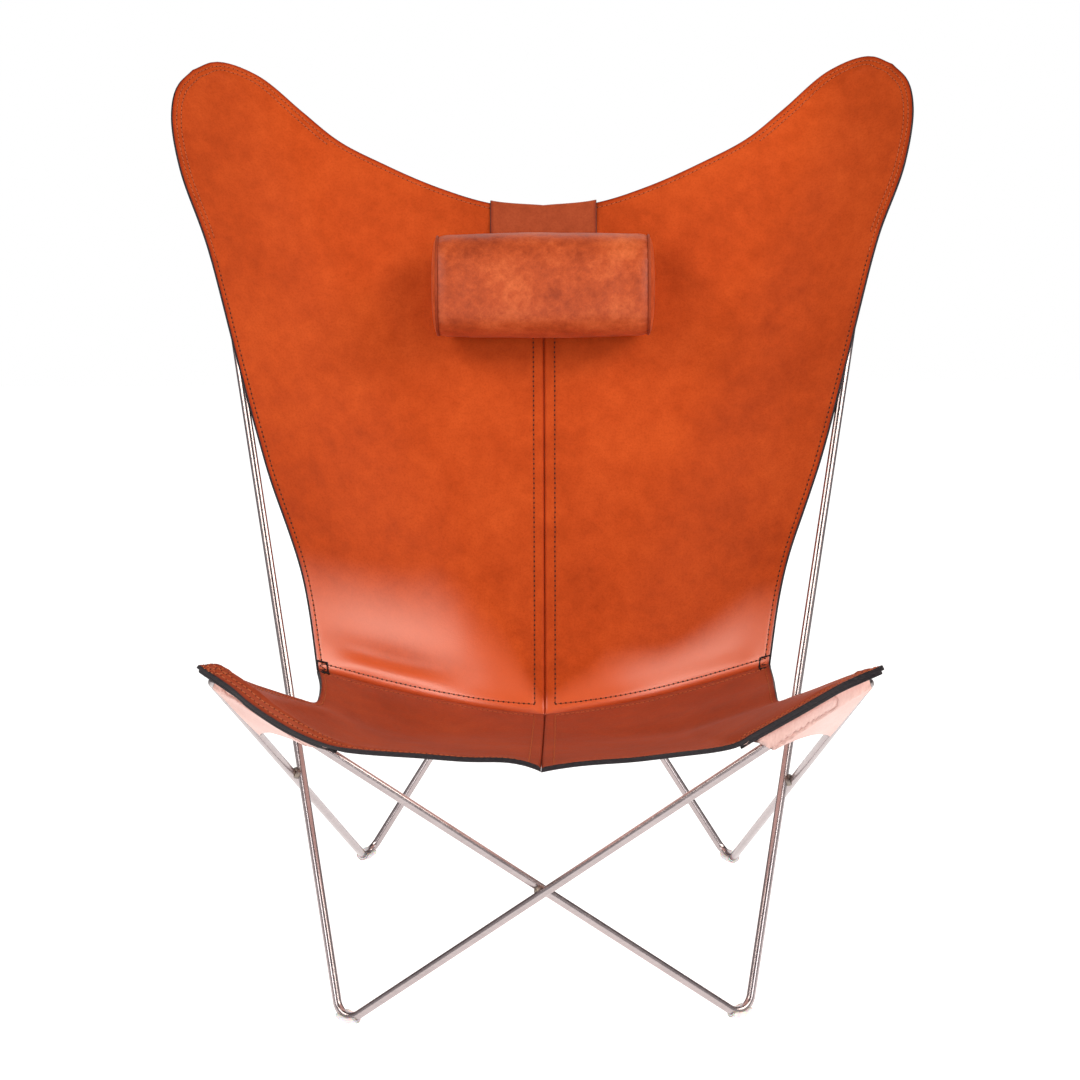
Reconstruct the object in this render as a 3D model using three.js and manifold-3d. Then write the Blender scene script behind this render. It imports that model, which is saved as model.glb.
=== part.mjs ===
// A butterfly lounge chair: two bent steel rods welded where they cross, a leather sling that hangs
// on their four upper bends, and a roll headrest held by a strap and a counterweight.
// Millimetres, +Z up, the floor at z = 0. The sitter faces -Y and +X is the viewer's right.

import * as THREE from 'three';
import { mergeVertices } from 'three/addons/utils/BufferGeometryUtils.js';
import Module from 'manifold-3d';

const wasm = await Module();
wasm.setup();

// Frame. A corner is where the middles of two straight runs would meet if the rod were not rounded.
const ROD_D = 10;
const FRONT_FEET_X = 224;
const REAR_FEET_X = 235;
const FEET_DEPTH = 441;
const PEAK_X = 443;
const PEAK_Y = 618;
const PEAK_Z = 1057;
const WING_Y = -155;
const WING_Z = 459;
const FOOT_BEND = 20;
const PEAK_BEND = 28;
const WING_BEND = 18;
const WELD_GAP = 1;
const WELD_D = 14;
const BUTT_LENGTH = 4;
const BUTT_RISE = 0.2;
const BUTT_FROM_WING = 90;

// Plastic glides clipped under the four foot bends.
const GLIDE_UNDER = 3;
const GLIDE_D = 18;
const GLIDE_SWEEP = 64;
const GLIDE_HEIGHT = 10;

// Leather sling, measured on the middle of its thickness.
const LEATHER = 3.6;
const CLEARANCE = 0.3;
const TOP_Y = 545;
const TOP_Z = 822;
const LOW_Y = 272;
const LOW_Z = 257;
const FRONT_Y = -85;
const FRONT_Z = 331;
const WAIST_X = 261;
const WAIST_Z = 335;
const SEAM_POWER = 1.8;
const BACK_BELLY = 0.245;
const TOP_SWEEP = 0.0012;
const FLANK_ROUND_LOW = 120;
const FLANK_ROUND_TOP = 50;
const SEAT_SAG = 5;
const RIDGE_FALL = 0.045;
const RIDGE_ROUND = 5;
const RIDGE_REACH = 9;

// Where the sling's tips lie beyond the middle of the rod's bend.
const PEAK_TIP = new THREE.Vector3(17, 0, 7);
const WING_TIP = new THREE.Vector3(15, -23, 25);

// Outlines of one half of the sling, as shares of the way from the first named point to the tip.
// Top edge, from the middle of the top: across, up.
const TOP_EDGE = [[0, 0], [0.15, 0.035], [0.3, 0.145], [0.455, 0.305], [0.59, 0.47],
  [0.7, 0.675], [0.835, 0.94], [0.945, 1.045], [1, 1]];
// Outer edge of the back, from the waist: across, up.
const OUTER_EDGE = [[0, 0], [0.115, 0.15], [0.385, 0.34], [0.59, 0.5], [0.83, 0.7],
  [1.035, 0.835], [1.11, 0.93], [1.085, 0.975], [1, 1]];
// Front edge of the seat, from its middle: across, forward, up.
const FRONT_EDGE = [[0, 0, 0], [0.155, 0.04, 0.05], [0.34, 0.15, 0.115], [0.583, 0.488, 0.287],
  [0.639, 0.595, 0.393], [0.707, 0.702, 0.522], [0.776, 0.804, 0.651], [0.844, 0.905, 0.78],
  [0.889, 0.984, 0.867], [1, 1, 1]];
// Side edge of the seat, from the waist: across, forward, up.
const SIDE_EDGE = [[0, 0, 0], [-0.07, 0.16, 0.023], [-0.115, 0.3, 0.06], [-0.113, 0.42, 0.1],
  [0.065, 0.56, 0.292], [0.3, 0.68, 0.481], [0.5, 0.8, 0.665], [0.68, 0.905, 0.835], [1, 1, 1]];

// Pockets: how far their mouths lie from the tip, along the two edges that they are sewn to.
const PEAK_POCKET = { across: 0.42, along: 0.3 };
const WING_POCKET = { across: 0.43, along: 0.4 };
const POCKET_CUTS = 12;

// Strips sewn behind the seams, and the thread boxes that lock the seam at the waist.
const STRIP_W = 40;
const STRIP_T = 2;
const STRIP_SHORT = 3;
const TACK_T = 1;
const TACK_INSET = 0.15;

// Headrest, strap and counterweight.
const HEADREST_DROP = 100;
const HEADREST_L = 254;
const HEADREST_H = 126;
const HEADREST_DEPTH = 92;
const HEADREST_SKIN = 2.5;
const HEADREST_DRAW_IN = 0.05;
const HEADREST_SQUARE = 2.5;
const HEADREST_RIM = 2;
const HEADREST_DOME = 6;
const HEADREST_SIDES = 32;
const HEADREST_CUTS = 8;
const STRAP_W = 130;
const STRAP_T = 2.5;
const STRAP_LEG = 12;
const STRAP_TAIL = 106;
const STRAP_ARC_CUTS = 6;
const STRAP_CUTS = 5;
const POUCH_H = 70;
const POUCH_DEPTH = 15;
const POUCH_WALL = 2.5;
const POUCH_CORNER = 5;
const BAR_INSET = 4;

const STEEL = { color: 0xb9b3ae, roughness: 0.32, metalness: 1 };
const WELD = { color: 0x6d6762, roughness: 0.5, metalness: 1 };
const GLIDE = { color: 0xe9e6e2, roughness: 0.45, metalness: 0 };
const SADDLE = { color: 0xb9501f, roughness: 0.42, metalness: 0 };
const SEAT = { color: 0x9c3d1d, roughness: 0.42, metalness: 0 };
const FLESH = { color: 0xd9a883, roughness: 0.85, metalness: 0 };
const ROLL = { color: 0xb4562f, roughness: 0.5, metalness: 0 };
const THREAD = { color: 0x241a18, roughness: 0.7, metalness: 0 };
const FOAM = { color: 0xe6dcc0, roughness: 0.9, metalness: 0 };

const ROD_R = ROD_D / 2;
const SIDES = { left: -1, right: 1 };
const CENTRE_GAP = CLEARANCE / 2;
const SLING_OFF = ROD_R + CLEARANCE + LEATHER / 2;
const chair = new THREE.Group();

function add(name, geometry, look) {
  const mesh = new THREE.Mesh(geometry, new THREE.MeshStandardMaterial(look));
  mesh.name = name;
  chair.add(mesh);
}

const vec = (x, y, z) => new THREE.Vector3(x, y, z);
const between = (a, b, share) => a.clone().lerp(b, share);
const towards = (a, b) => b.clone().sub(a).normalize();

// Solids for joining and cutting.

function volumeOf(position, index) {
  const a = vec();
  const b = vec();
  const c = vec();
  let six = 0;
  for (let i = 0; i < index.length; i += 3) {
    a.fromBufferAttribute(position, index[i]);
    b.fromBufferAttribute(position, index[i + 1]);
    c.fromBufferAttribute(position, index[i + 2]);
    six += a.dot(b.cross(c));
  }
  return six / 6;
}

// Merges the corners, drops triangles that have closed up, and turns the faces outwards.
function closed(geometry) {
  const bare = new THREE.BufferGeometry();
  bare.setAttribute('position', geometry.getAttribute('position').clone());
  if (geometry.index) bare.setIndex(geometry.index.clone());
  const merged = mergeVertices(bare, 1e-3);
  const old = merged.index.array;
  const kept = [];
  for (let i = 0; i < old.length; i += 3) {
    const [a, b, c] = [old[i], old[i + 1], old[i + 2]];
    if (a !== b && b !== c && c !== a) kept.push(a, b, c);
  }
  if (volumeOf(merged.getAttribute('position'), kept) < 0) kept.reverse();
  merged.setIndex(kept);
  merged.computeVertexNormals();
  return merged;
}

function solid(geometry) {
  const shape = closed(geometry);
  return new wasm.Manifold(new wasm.Mesh({
    numProp: 3,
    vertProperties: new Float32Array(shape.getAttribute('position').array),
    triVerts: new Uint32Array(shape.index.array),
  }));
}

function geometryOf(manifold) {
  const mesh = manifold.getMesh();
  const geometry = new THREE.BufferGeometry();
  geometry.setAttribute('position', new THREE.BufferAttribute(new Float32Array(mesh.vertProperties), 3));
  geometry.setIndex(new THREE.BufferAttribute(new Uint32Array(mesh.triVerts), 1));
  geometry.computeVertexNormals();
  return geometry;
}

// Rods.

// The arc that rounds the corner at c between the runs from a and to b.
function bend(a, c, b, radius) {
  const u = towards(c, a);
  const v = towards(c, b);
  const half = u.angleTo(v) / 2;
  const inward = u.clone().add(v).normalize();
  const centre = c.clone().addScaledVector(inward, radius / Math.sin(half));
  const from = c.clone().addScaledVector(u, radius / Math.tan(half)).sub(centre).normalize();
  const across = inward.clone().negate();
  const on = across.addScaledVector(from, -across.dot(from)).normalize();
  const sweep = Math.PI - 2 * half;
  const at = (angle) => {
    const [cos, sin] = [Math.cos(angle), Math.sin(angle)];
    return {
      point: centre.clone().addScaledVector(from, radius * cos).addScaledVector(on, radius * sin),
      tangent: on.clone().multiplyScalar(cos).addScaledVector(from, -sin),
    };
  };
  const normal = from.clone().cross(on);
  const lowest = centre.z - radius * Math.sqrt(1 - normal.z ** 2);
  return { centre, radius, sweep, at, u, v, inward, normal, lowest, apex: at(sweep / 2).point };
}

// Distance from the leg's middle out to the middle of the rod that crosses outside it.
function sideGap(foot, peak, rear, wing) {
  const normal = peak.clone().sub(foot).cross(wing.clone().sub(rear)).normalize();
  if (normal.x < 0) normal.negate();
  return wing.clone().sub(foot).dot(normal);
}

// Corners of the right-hand side: the feet stand on their glides and the side rod lies against the leg.
function cornersOfSide() {
  const foot = vec(FRONT_FEET_X, 0, 0);
  const peak = vec(PEAK_X, PEAK_Y, PEAK_Z);
  const rear = vec(REAR_FEET_X, FEET_DEPTH, 0);
  const wing = vec(0, WING_Y, WING_Z);
  const far = (corner) => vec(-corner.x, corner.y, corner.z);
  for (let pass = 0; pass < 12; pass += 1) {
    let low = 0;
    let high = 2 * PEAK_X;
    for (let step = 0; step < 40; step += 1) {
      wing.x = (low + high) / 2;
      if (sideGap(foot, peak, rear, wing) < ROD_D + WELD_GAP) low = wing.x;
      else high = wing.x;
    }
    const floor = ROD_R + GLIDE_UNDER;
    foot.z += floor - bend(far(wing), foot, peak, FOOT_BEND).lowest;
    rear.z += floor - bend(far(peak), rear, wing, FOOT_BEND).lowest;
  }
  return { foot, peak, rear, wing };
}

const CORNER = cornersOfSide();

// The two rods are mirror images, set apart along Y so that they pass each other where they cross.
const crossingRise = CORNER.wing.z - CORNER.foot.z;
const crossingRun = CORNER.wing.y - CORNER.foot.y;
const ROD_SHIFT = ((ROD_D + WELD_GAP) / 2) * (Math.hypot(crossingRise, crossingRun) / crossingRise);

// A rod is named by the side of its front foot.
function rodOf(side) {
  const place = (corner, to) => vec(to * corner.x, corner.y + side * ROD_SHIFT, corner.z);
  const foot = place(CORNER.foot, side);
  const peak = place(CORNER.peak, side);
  const rear = place(CORNER.rear, -side);
  const wing = place(CORNER.wing, -side);
  return {
    foot, peak, rear, wing,
    bends: {
      wing: bend(rear, wing, foot, WING_BEND),
      foot: bend(wing, foot, peak, FOOT_BEND),
      peak: bend(foot, peak, rear, PEAK_BEND),
      rear: bend(peak, rear, wing, FOOT_BEND),
    },
  };
}

const ROD = { [-1]: rodOf(-1), [1]: rodOf(1) };

// A path that is sampled exactly at its stations.
class StationPath extends THREE.Curve {
  constructor(stations) {
    super();
    this.stations = stations;
    this.steps = stations.length - 1;
  }

  station(t) {
    return this.stations[Math.round(t * this.steps)];
  }

  getPoint(t) {
    return this.station(t).point.clone();
  }

  getPointAt(t) {
    return this.getPoint(t);
  }

  getTangentAt(t) {
    return this.station(t).tangent.clone();
  }
}

function arcStations(arc, steps, from = 0, to = arc.sweep) {
  const stations = [];
  for (let i = 0; i <= steps; i += 1) stations.push(arc.at(from + ((to - from) * i) / steps));
  return stations;
}

function runStations(from, to, cuts) {
  const tangent = towards(from, to);
  const stations = [];
  for (let i = 1; i < cuts; i += 1) stations.push({ point: between(from, to, i / cuts), tangent });
  return stations;
}

function sweep(stations, radius, sides) {
  const section = new THREE.Shape();
  for (let i = 0; i < sides; i += 1) {
    const angle = (2 * Math.PI * i) / sides;
    const [x, y] = [radius * Math.cos(angle), radius * Math.sin(angle)];
    if (i === 0) section.moveTo(x, y);
    else section.lineTo(x, y);
  }
  const path = new StationPath(stations);
  return new THREE.ExtrudeGeometry(section, { extrudePath: path, steps: path.steps });
}

function cylinder(from, to, radius, sides) {
  const geometry = new THREE.CylinderGeometry(radius, radius, from.distanceTo(to), sides);
  const turn = new THREE.Quaternion().setFromUnitVectors(vec(0, 1, 0), towards(from, to));
  geometry.applyQuaternion(turn);
  const middle = between(from, to, 0.5);
  return geometry.translate(middle.x, middle.y, middle.z);
}

const ROD_SIDES = 12;
const BEND_STEPS = 8;
const RUN_CUTS = 4;

function rodSolid(rod) {
  const { wing, foot, peak, rear } = rod.bends;
  const run = towards(rod.rear, rod.wing);
  const butt = rod.wing.clone().addScaledVector(run, -BUTT_FROM_WING);
  const apart = run.clone().multiplyScalar(CLEARANCE / 2);
  const arcs = [wing, foot, peak, rear].map((arc) => arcStations(arc, BEND_STEPS));
  const stations = [{ point: butt.clone().add(apart), tangent: run }];
  arcs.forEach((arc, i) => {
    if (i > 0) stations.push(...runStations(arcs[i - 1].at(-1).point, arc[0].point, RUN_CUTS));
    stations.push(...arc);
  });
  stations.push(...runStations(stations.at(-1).point, butt, RUN_CUTS));
  stations.push({ point: butt.clone().sub(apart), tangent: run });
  const reach = run.clone().multiplyScalar(BUTT_LENGTH / 2);
  const bead = cylinder(butt.clone().sub(reach), butt.clone().add(reach), ROD_R + BUTT_RISE, ROD_SIDES);
  return solid(sweep(stations, ROD_R, ROD_SIDES)).add(solid(bead));
}

add('frame_rod_left', geometryOf(rodSolid(ROD[-1])), STEEL);
add('frame_rod_right', geometryOf(rodSolid(ROD[1])), STEEL);

// The bead of weld metal between two runs, where they pass closest.
function weld(name, a, b, c, d) {
  const u = towards(a, b);
  const v = towards(c, d);
  const normal = u.clone().cross(v).normalize();
  const apart = c.clone().sub(a);
  const along = apart.clone().cross(v).dot(normal) / u.clone().cross(v).dot(normal);
  const onFirst = a.clone().addScaledVector(u, along);
  const gap = apart.dot(normal);
  const middle = onFirst.clone().addScaledVector(normal, gap / 2);
  const bead = new THREE.SphereGeometry(WELD_D / 2, 16, 10);
  bead.translate(middle.x, middle.y, middle.z);
  const sleeve = (point, along) => solid(cylinder(
    point.clone().addScaledVector(along, -WELD_D), point.clone().addScaledVector(along, WELD_D),
    ROD_R + CLEARANCE, 24,
  ));
  const onSecond = onFirst.clone().addScaledVector(normal, gap);
  add(name, geometryOf(solid(bead).subtract(sleeve(onFirst, u)).subtract(sleeve(onSecond, v))), WELD);
}

weld('weld_front', ROD[-1].foot, ROD[-1].wing, ROD[1].foot, ROD[1].wing);
weld('weld_rear', ROD[-1].rear, ROD[-1].peak, ROD[1].rear, ROD[1].peak);
for (const [label, side] of Object.entries(SIDES)) {
  weld(`weld_${label}`, ROD[side].foot, ROD[side].peak, ROD[-side].wing, ROD[-side].rear);
}

// Angle along a bend at which it comes closest to the floor.
function lowestAngle(arc) {
  let best = 0;
  for (let i = 0; i <= 200; i += 1) {
    const angle = (arc.sweep * i) / 200;
    if (arc.at(angle).point.z < arc.at(best).point.z) best = angle;
  }
  return best;
}

// A glide is a saddle under the bend, cut flat where it stands on the floor.
function glide(name, arc) {
  const half = THREE.MathUtils.degToRad(GLIDE_SWEEP / 2);
  const middle = lowestAngle(arc);
  const stands = arc.at(middle).point;
  const body = solid(sweep(arcStations(arc, 6, middle - half, middle + half), GLIDE_D / 2, 20));
  const past = 1.6 * half;
  const rod = solid(sweep(arcStations(arc, 12, middle - past, middle + past), ROD_R + CLEARANCE, 16));
  const slab = new THREE.BoxGeometry(4 * GLIDE_D, 4 * GLIDE_D, GLIDE_HEIGHT);
  slab.translate(stands.x, stands.y, GLIDE_HEIGHT / 2);
  add(name, geometryOf(body.subtract(rod).intersect(solid(slab))), GLIDE);
}

for (const [label, side] of Object.entries(SIDES)) {
  glide(`glide_front_${label}`, ROD[side].bends.foot);
  glide(`glide_rear_${label}`, ROD[-side].bends.rear);
}

// Sling surfaces. A half of the sling is named by its side: it hangs on the peak of its own rod and
// on the wing of the other one.

function planeOf(a, b, c, facing) {
  const normal = b.clone().sub(a).cross(c.clone().sub(a)).normalize();
  if (normal.dot(facing) < 0) normal.negate();
  return { point: a, normal };
}

function halfOf(side) {
  const own = ROD[side];
  const other = ROD[-side];
  const beyond = (apex, tip) => apex.clone().add(vec(side * tip.x, tip.y, tip.z));
  return {
    side,
    flank: { ...planeOf(own.peak, own.foot, own.rear, vec(0, -1, 0)), bend: own.bends.peak },
    wing: { ...planeOf(other.wing, other.foot, other.rear, vec(0, 0, 1)), bend: other.bends.wing },
    peakTip: beyond(own.bends.peak.apex, PEAK_TIP),
    wingTip: beyond(other.bends.wing.apex, WING_TIP),
  };
}

// The smaller of two heights, rounded over a width where they cross.
function roundedMin(a, b, width) {
  const near = Math.max(width - Math.abs(a - b), 0) / width;
  return Math.min(a, b) - (near * near * width) / 4;
}

const roundedMax = (a, b, width) => -roundedMin(-a, -b, width);

// Height of a point above the plane of a bend's two runs.
const above = (hold, p) => p.clone().sub(hold.point).dot(hold.normal);

// Distance of a point outside the middle of the rod, seen square to the plane of the bend.
function outside(hold, p) {
  const { centre, u, v, radius } = hold.bend;
  const q = p.clone().sub(centre);
  q.addScaledVector(hold.normal, -q.dot(hold.normal));
  const cos = u.dot(v);
  const [a, b] = [q.dot(u), q.dot(v)];
  if (a - cos * b >= 0 && b - cos * a >= 0) return -radius;
  const fromRun = (run) => q.clone().addScaledVector(run, -Math.max(q.dot(run), 0)).length();
  return Math.min(fromRun(u), fromRun(v)) - radius;
}

// A patch filled in between four edges that meet at its corners.
function patch(bottom, top, left, right) {
  const [c00, c10, c01, c11] = [bottom(0), bottom(1), top(0), top(1)];
  return (u, v) => bottom(u).multiplyScalar(1 - v)
    .addScaledVector(top(u), v)
    .addScaledVector(left(v), 1 - u)
    .addScaledVector(right(v), u)
    .addScaledVector(c00, -(1 - u) * (1 - v))
    .addScaledVector(c10, -u * (1 - v))
    .addScaledVector(c01, -(1 - u) * v)
    .addScaledVector(c11, -u * v);
}

function smoothEdge(points) {
  const curve = new THREE.CatmullRomCurve3(points);
  return (t) => curve.getPointAt(t);
}

const seamRise = (u) => LOW_Z + (WAIST_Z - LOW_Z) * u ** SEAM_POWER;

// The back: its middle leans, and its flanks lie on the planes of the upper bends.
function backSurface(half) {
  const { point, normal } = half.flank;
  const depth = (x, z) => {
    const tilt = normal.x * (half.side * x - point.x) + normal.z * (z - point.z);
    const flat = point.y + (SLING_OFF - tilt) / normal.y;
    const share = Math.max((z - LOW_Z) / (TOP_Z - LOW_Z), 0);
    const lean = share + BACK_BELLY * Math.sqrt(share) * (1 - share);
    const middle = LOW_Y + (TOP_Y - LOW_Y) * lean + TOP_SWEEP * Math.max(z - TOP_Z, 0) ** 2;
    const round = THREE.MathUtils.lerp(FLANK_ROUND_LOW, FLANK_ROUND_TOP, Math.min(share, 1));
    return roundedMin(flat, middle, round);
  };
  const tip = half.peakTip;
  const tipX = half.side * tip.x;
  const edge = (x0, z0, shares) => smoothEdge(
    shares.map(([x, z]) => vec(x0 + (tipX - x0) * x, 0, z0 + (tip.z - z0) * z)),
  );
  const flatPatch = patch(
    (u) => vec(WAIST_X * u, 0, seamRise(u)),
    edge(0, TOP_Z, TOP_EDGE),
    (v) => vec(0, 0, THREE.MathUtils.lerp(LOW_Z, TOP_Z, v)),
    edge(WAIST_X, WAIST_Z, OUTER_EDGE),
  );
  const at = (u, v) => {
    const { x, z } = flatPatch(u, v);
    return vec(half.side * x, depth(x, z), z);
  };
  const normalAt = (u, v) => {
    const { x, z } = flatPatch(u, v);
    const slope = (dx, dz) => depth(x + dx, z + dz) - depth(x - dx, z - dz);
    return vec(half.side * slope(0.5, 0), -1, slope(0, 0.5)).normalize();
  };
  return { at, normalAt };
}

// The seat: it hangs from the waist and the wings, and rides over the two runs at each wing.
function seatSurface(half, back) {
  const front = vec(0, FRONT_Y, FRONT_Z);
  const low = back.at(0, 0);
  const waist = back.at(1, 0);
  const tip = half.wingTip;
  const edge = (from, shares) => smoothEdge(
    shares.map((share) => tip.clone().sub(from).multiply(vec(...share)).add(from)),
  );
  const hung = patch(
    (u) => back.at(u, 0),
    edge(front, FRONT_EDGE),
    (v) => between(low, front, v).add(vec(0, 0, -4 * SEAT_SAG * v * (1 - v))),
    edge(waist, SIDE_EDGE),
  );
  const at = (u, v) => {
    const p = hung(u, v);
    const height = above(half.wing, p);
    const over = Math.max(outside(half.wing, p) - RIDGE_REACH, 0);
    const needed = SLING_OFF - RIDGE_FALL * over * over;
    return p.addScaledVector(half.wing.normal, roundedMax(height, needed, RIDGE_ROUND) - height);
  };
  const normalAt = (u, v) => {
    const [u0, u1] = [Math.max(u - 0.002, 0), Math.min(u + 0.002, 1)];
    const [v0, v1] = [Math.max(v - 0.002, 0), Math.min(v + 0.002, 1)];
    const normal = at(u1, v).sub(at(u0, v)).cross(at(u, v1).sub(at(u, v0))).normalize();
    return normal.z < 0 ? normal.negate() : normal;
  };
  return { at, normalAt };
}

// Points of a panel in columns from the middle and rows from the waist. The first column and row lie
// at the edge of the seam strips, and the last ones are spaced for the pocket.
function gridOf(surface, pocket, columns, rows) {
  const steps = (from, to, cuts, whole) => {
    const step = (to - from) / whole;
    return Array.from({ length: cuts }, (_, i) => from + step * (i + 1));
  };
  const spread = (first, from, cuts) => [
    0, first, ...steps(first, from, cuts, cuts), ...steps(from, 1, POCKET_CUTS - 1, POCKET_CUTS - 0.6), 1,
  ];
  const width = (v) => surface.at(0, v).distanceTo(surface.at(1, v));
  const length = (u) => surface.at(u, 0).distanceTo(surface.at(u, 1));
  const firstU = (v) => STRIP_W / 2 / width(v);
  const firstV = (u) => STRIP_W / 2 / length(u);
  const vCount = spread(firstV(0), 1 - pocket.along, rows).length;
  const uCount = spread(firstU(0), 1 - pocket.across, columns).length;
  const grid = [];
  for (let i = 0; i < uCount; i += 1) {
    grid.push([]);
    for (let j = 0; j < vCount; j += 1) {
      const roughU = spread(firstU(0.5), 1 - pocket.across, columns)[i];
      const v = spread(firstV(roughU), 1 - pocket.along, rows)[j];
      const u = spread(firstU(v), 1 - pocket.across, columns)[i];
      const normal = surface.normalAt(u, v);
      grid[i].push({ point: surface.at(u, v), normal, lift: normal.clone() });
    }
  }
  return grid;
}

// At the middle seam the two halves stay apart, and their edges stand upright.
function trimAtMiddle(grid, side) {
  grid[0].forEach((node) => {
    const upright = node.normal.clone().setX(0).normalize();
    node.lift = upright.divideScalar(upright.dot(node.normal));
    node.point.x = side * CENTRE_GAP;
  });
}

// At the waist, back and seat meet on the line that halves the angle between them.
function mitreAtWaist(back, seat) {
  back.forEach((column, i) => {
    const [b, s] = [column[0], seat[i][0]];
    const halfway = b.lift.clone().normalize().add(s.lift.clone().normalize()).normalize();
    const lift = halfway.divideScalar(halfway.dot(b.normal));
    const seam = b.point.clone();
    [[b, column[1]], [s, seat[i][1]]].forEach(([node, next]) => {
      node.seam = seam;
      node.lift = lift.clone();
      node.point = seam.clone().addScaledVector(towards(seam, next.point), CLEARANCE * 0.6);
    });
  });
}

// A closed sheet over the given nodes: each triangle on both faces, with walls along the open edges.
function sheetOf(nodes, triangles) {
  const position = [];
  nodes.forEach(({ point, half }) => {
    position.push(...point.clone().add(half).toArray(), ...point.clone().sub(half).toArray());
  });
  const index = [];
  const open = new Map();
  triangles.forEach(([a, b, c]) => {
    index.push(2 * a, 2 * b, 2 * c, 2 * a + 1, 2 * c + 1, 2 * b + 1);
    [[a, b], [b, c], [c, a]].forEach(([p, q]) => {
      if (open.has(`${q} ${p}`)) open.delete(`${q} ${p}`);
      else open.set(`${p} ${q}`, [p, q]);
    });
  });
  open.forEach(([p, q]) => index.push(2 * q, 2 * p, 2 * p + 1, 2 * q, 2 * p + 1, 2 * q + 1));
  const geometry = new THREE.BufferGeometry();
  geometry.setAttribute('position', new THREE.Float32BufferAttribute(position, 3));
  geometry.setIndex(index);
  return closed(geometry);
}

// Sheet over a block of nodes in columns and rows. The cells are split on the same diagonal as those of
// the panel that it lies on; where its columns or rows run the other way, the cell is turned.
function blockOf(columns, keep = () => true, turned = () => false) {
  const rows = columns[0].length;
  const triangles = [];
  for (let i = 0; i + 1 < columns.length; i += 1) {
    for (let j = 0; j + 1 < rows; j += 1) {
      const [a, b, c, d] = [i * rows + j, (i + 1) * rows + j, (i + 1) * rows + j + 1, i * rows + j + 1];
      if (turned(i, j)) {
        triangles.push([a, b, c], [a, c, d]);
      } else {
        if (keep(i, j)) triangles.push([a, b, d]);
        if (keep(i + 1, j)) triangles.push([b, c, d]);
      }
    }
  }
  return sheetOf(columns.flat(), triangles);
}

const layer = (node, depth, thickness) => ({
  point: (node.seam ?? node.point).clone().addScaledVector(node.lift, depth),
  half: node.lift.clone().multiplyScalar(thickness / 2),
});

function panel(name, grid, look) {
  add(name, blockOf(grid.map((column) => column.map((node) => ({
    point: node.point, half: node.lift.clone().multiplyScalar(LEATHER / 2),
  })))), look);
}

// A pocket lies against the panel along its two outer edges and passes behind the rod in between.
function pocket(name, grid, hold) {
  const cuts = POCKET_CUTS;
  const columns = grid.slice(-cuts - 1).map((column, i) => column.slice(-cuts - 1).map((node, j) => {
    const under = layer(node, -(LEATHER + CLEARANCE), LEATHER);
    const sewn = i === cuts || j === cuts;
    const open = sewn ? 1 - THREE.MathUtils.smoothstep(outside(hold, under.point), ROD_R, 2 * ROD_R) : 1;
    under.point.addScaledVector(hold.normal, -open * Math.max(above(hold, under.point) + SLING_OFF, 0));
    return under;
  }));
  add(name, blockOf(columns, (i, j) => i + j >= cuts), FLESH);
}

const BACK = {};
const SEAT_GRID = {};
for (const [label, side] of Object.entries(SIDES)) {
  const half = halfOf(side);
  const back = backSurface(half);
  const seat = seatSurface(half, back);
  BACK[side] = gridOf(back, PEAK_POCKET, 5, 9);
  SEAT_GRID[side] = gridOf(seat, WING_POCKET, 5, 6);
  trimAtMiddle(BACK[side], side);
  trimAtMiddle(SEAT_GRID[side], side);
  mitreAtWaist(BACK[side], SEAT_GRID[side]);
  panel(`back_panel_${label}`, BACK[side], SADDLE);
  panel(`seat_panel_${label}`, SEAT_GRID[side], SEAT);
  pocket(`top_pocket_${label}`, BACK[side], half.flank);
  pocket(`front_pocket_${label}`, SEAT_GRID[side], half.wing);
}

// Strips behind the seams. They share the nodes of the panels, so that they follow them.
const middle = (j, grids) => {
  const [a, b] = [grids[-1][0][j], grids[1][0][j]];
  return { point: between(a.seam ?? a.point, b.seam ?? b.point, 0.5), lift: a.lift };
};
const strip = (node) => layer(node, -(LEATHER / 2 + CLEARANCE + STRIP_T / 2), STRIP_T);

function middleStrip(name, grids) {
  const rows = grids[1][0].length;
  const sources = [(j) => grids[-1][1][j], (j) => middle(j, grids), (j) => grids[1][1][j]];
  const columns = sources.map((nodeAt) => {
    const nodes = [];
    for (let j = 1; j < rows - STRIP_SHORT; j += 1) nodes.push(nodeAt(j));
    const [first, next] = nodes;
    const apart = CLEARANCE / first.point.distanceTo(next.point);
    const point = between(first.point, next.point, apart);
    const lift = between(first.lift, next.lift, apart);
    return [{ point, lift }, ...nodes.slice(1)].map(strip);
  });
  add(name, blockOf(columns, () => true, (i) => i === 0), FLESH);
}

middleStrip('seam_strip_back', BACK);
middleStrip('seam_strip_seat', SEAT_GRID);

const across = (side, i) => [SEAT_GRID[side][i][1], BACK[side][i][0], BACK[side][i][1]].map(strip);
const reach = Array.from({ length: BACK[1].length - STRIP_SHORT }, (_, i) => i + 1);
const waistMiddle = [middle(1, SEAT_GRID), middle(0, BACK), middle(1, BACK)].map(strip);
const [waistLeft, waistRight] = [-1, 1].map((side) => reach.map((i) => across(side, i)));
const waist = [...waistLeft.reverse(), waistMiddle, ...waistRight];
add('seam_strip_waist', blockOf(waist, () => true, (i, j) => (i < reach.length) !== (j === 0)), FLESH);

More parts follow.
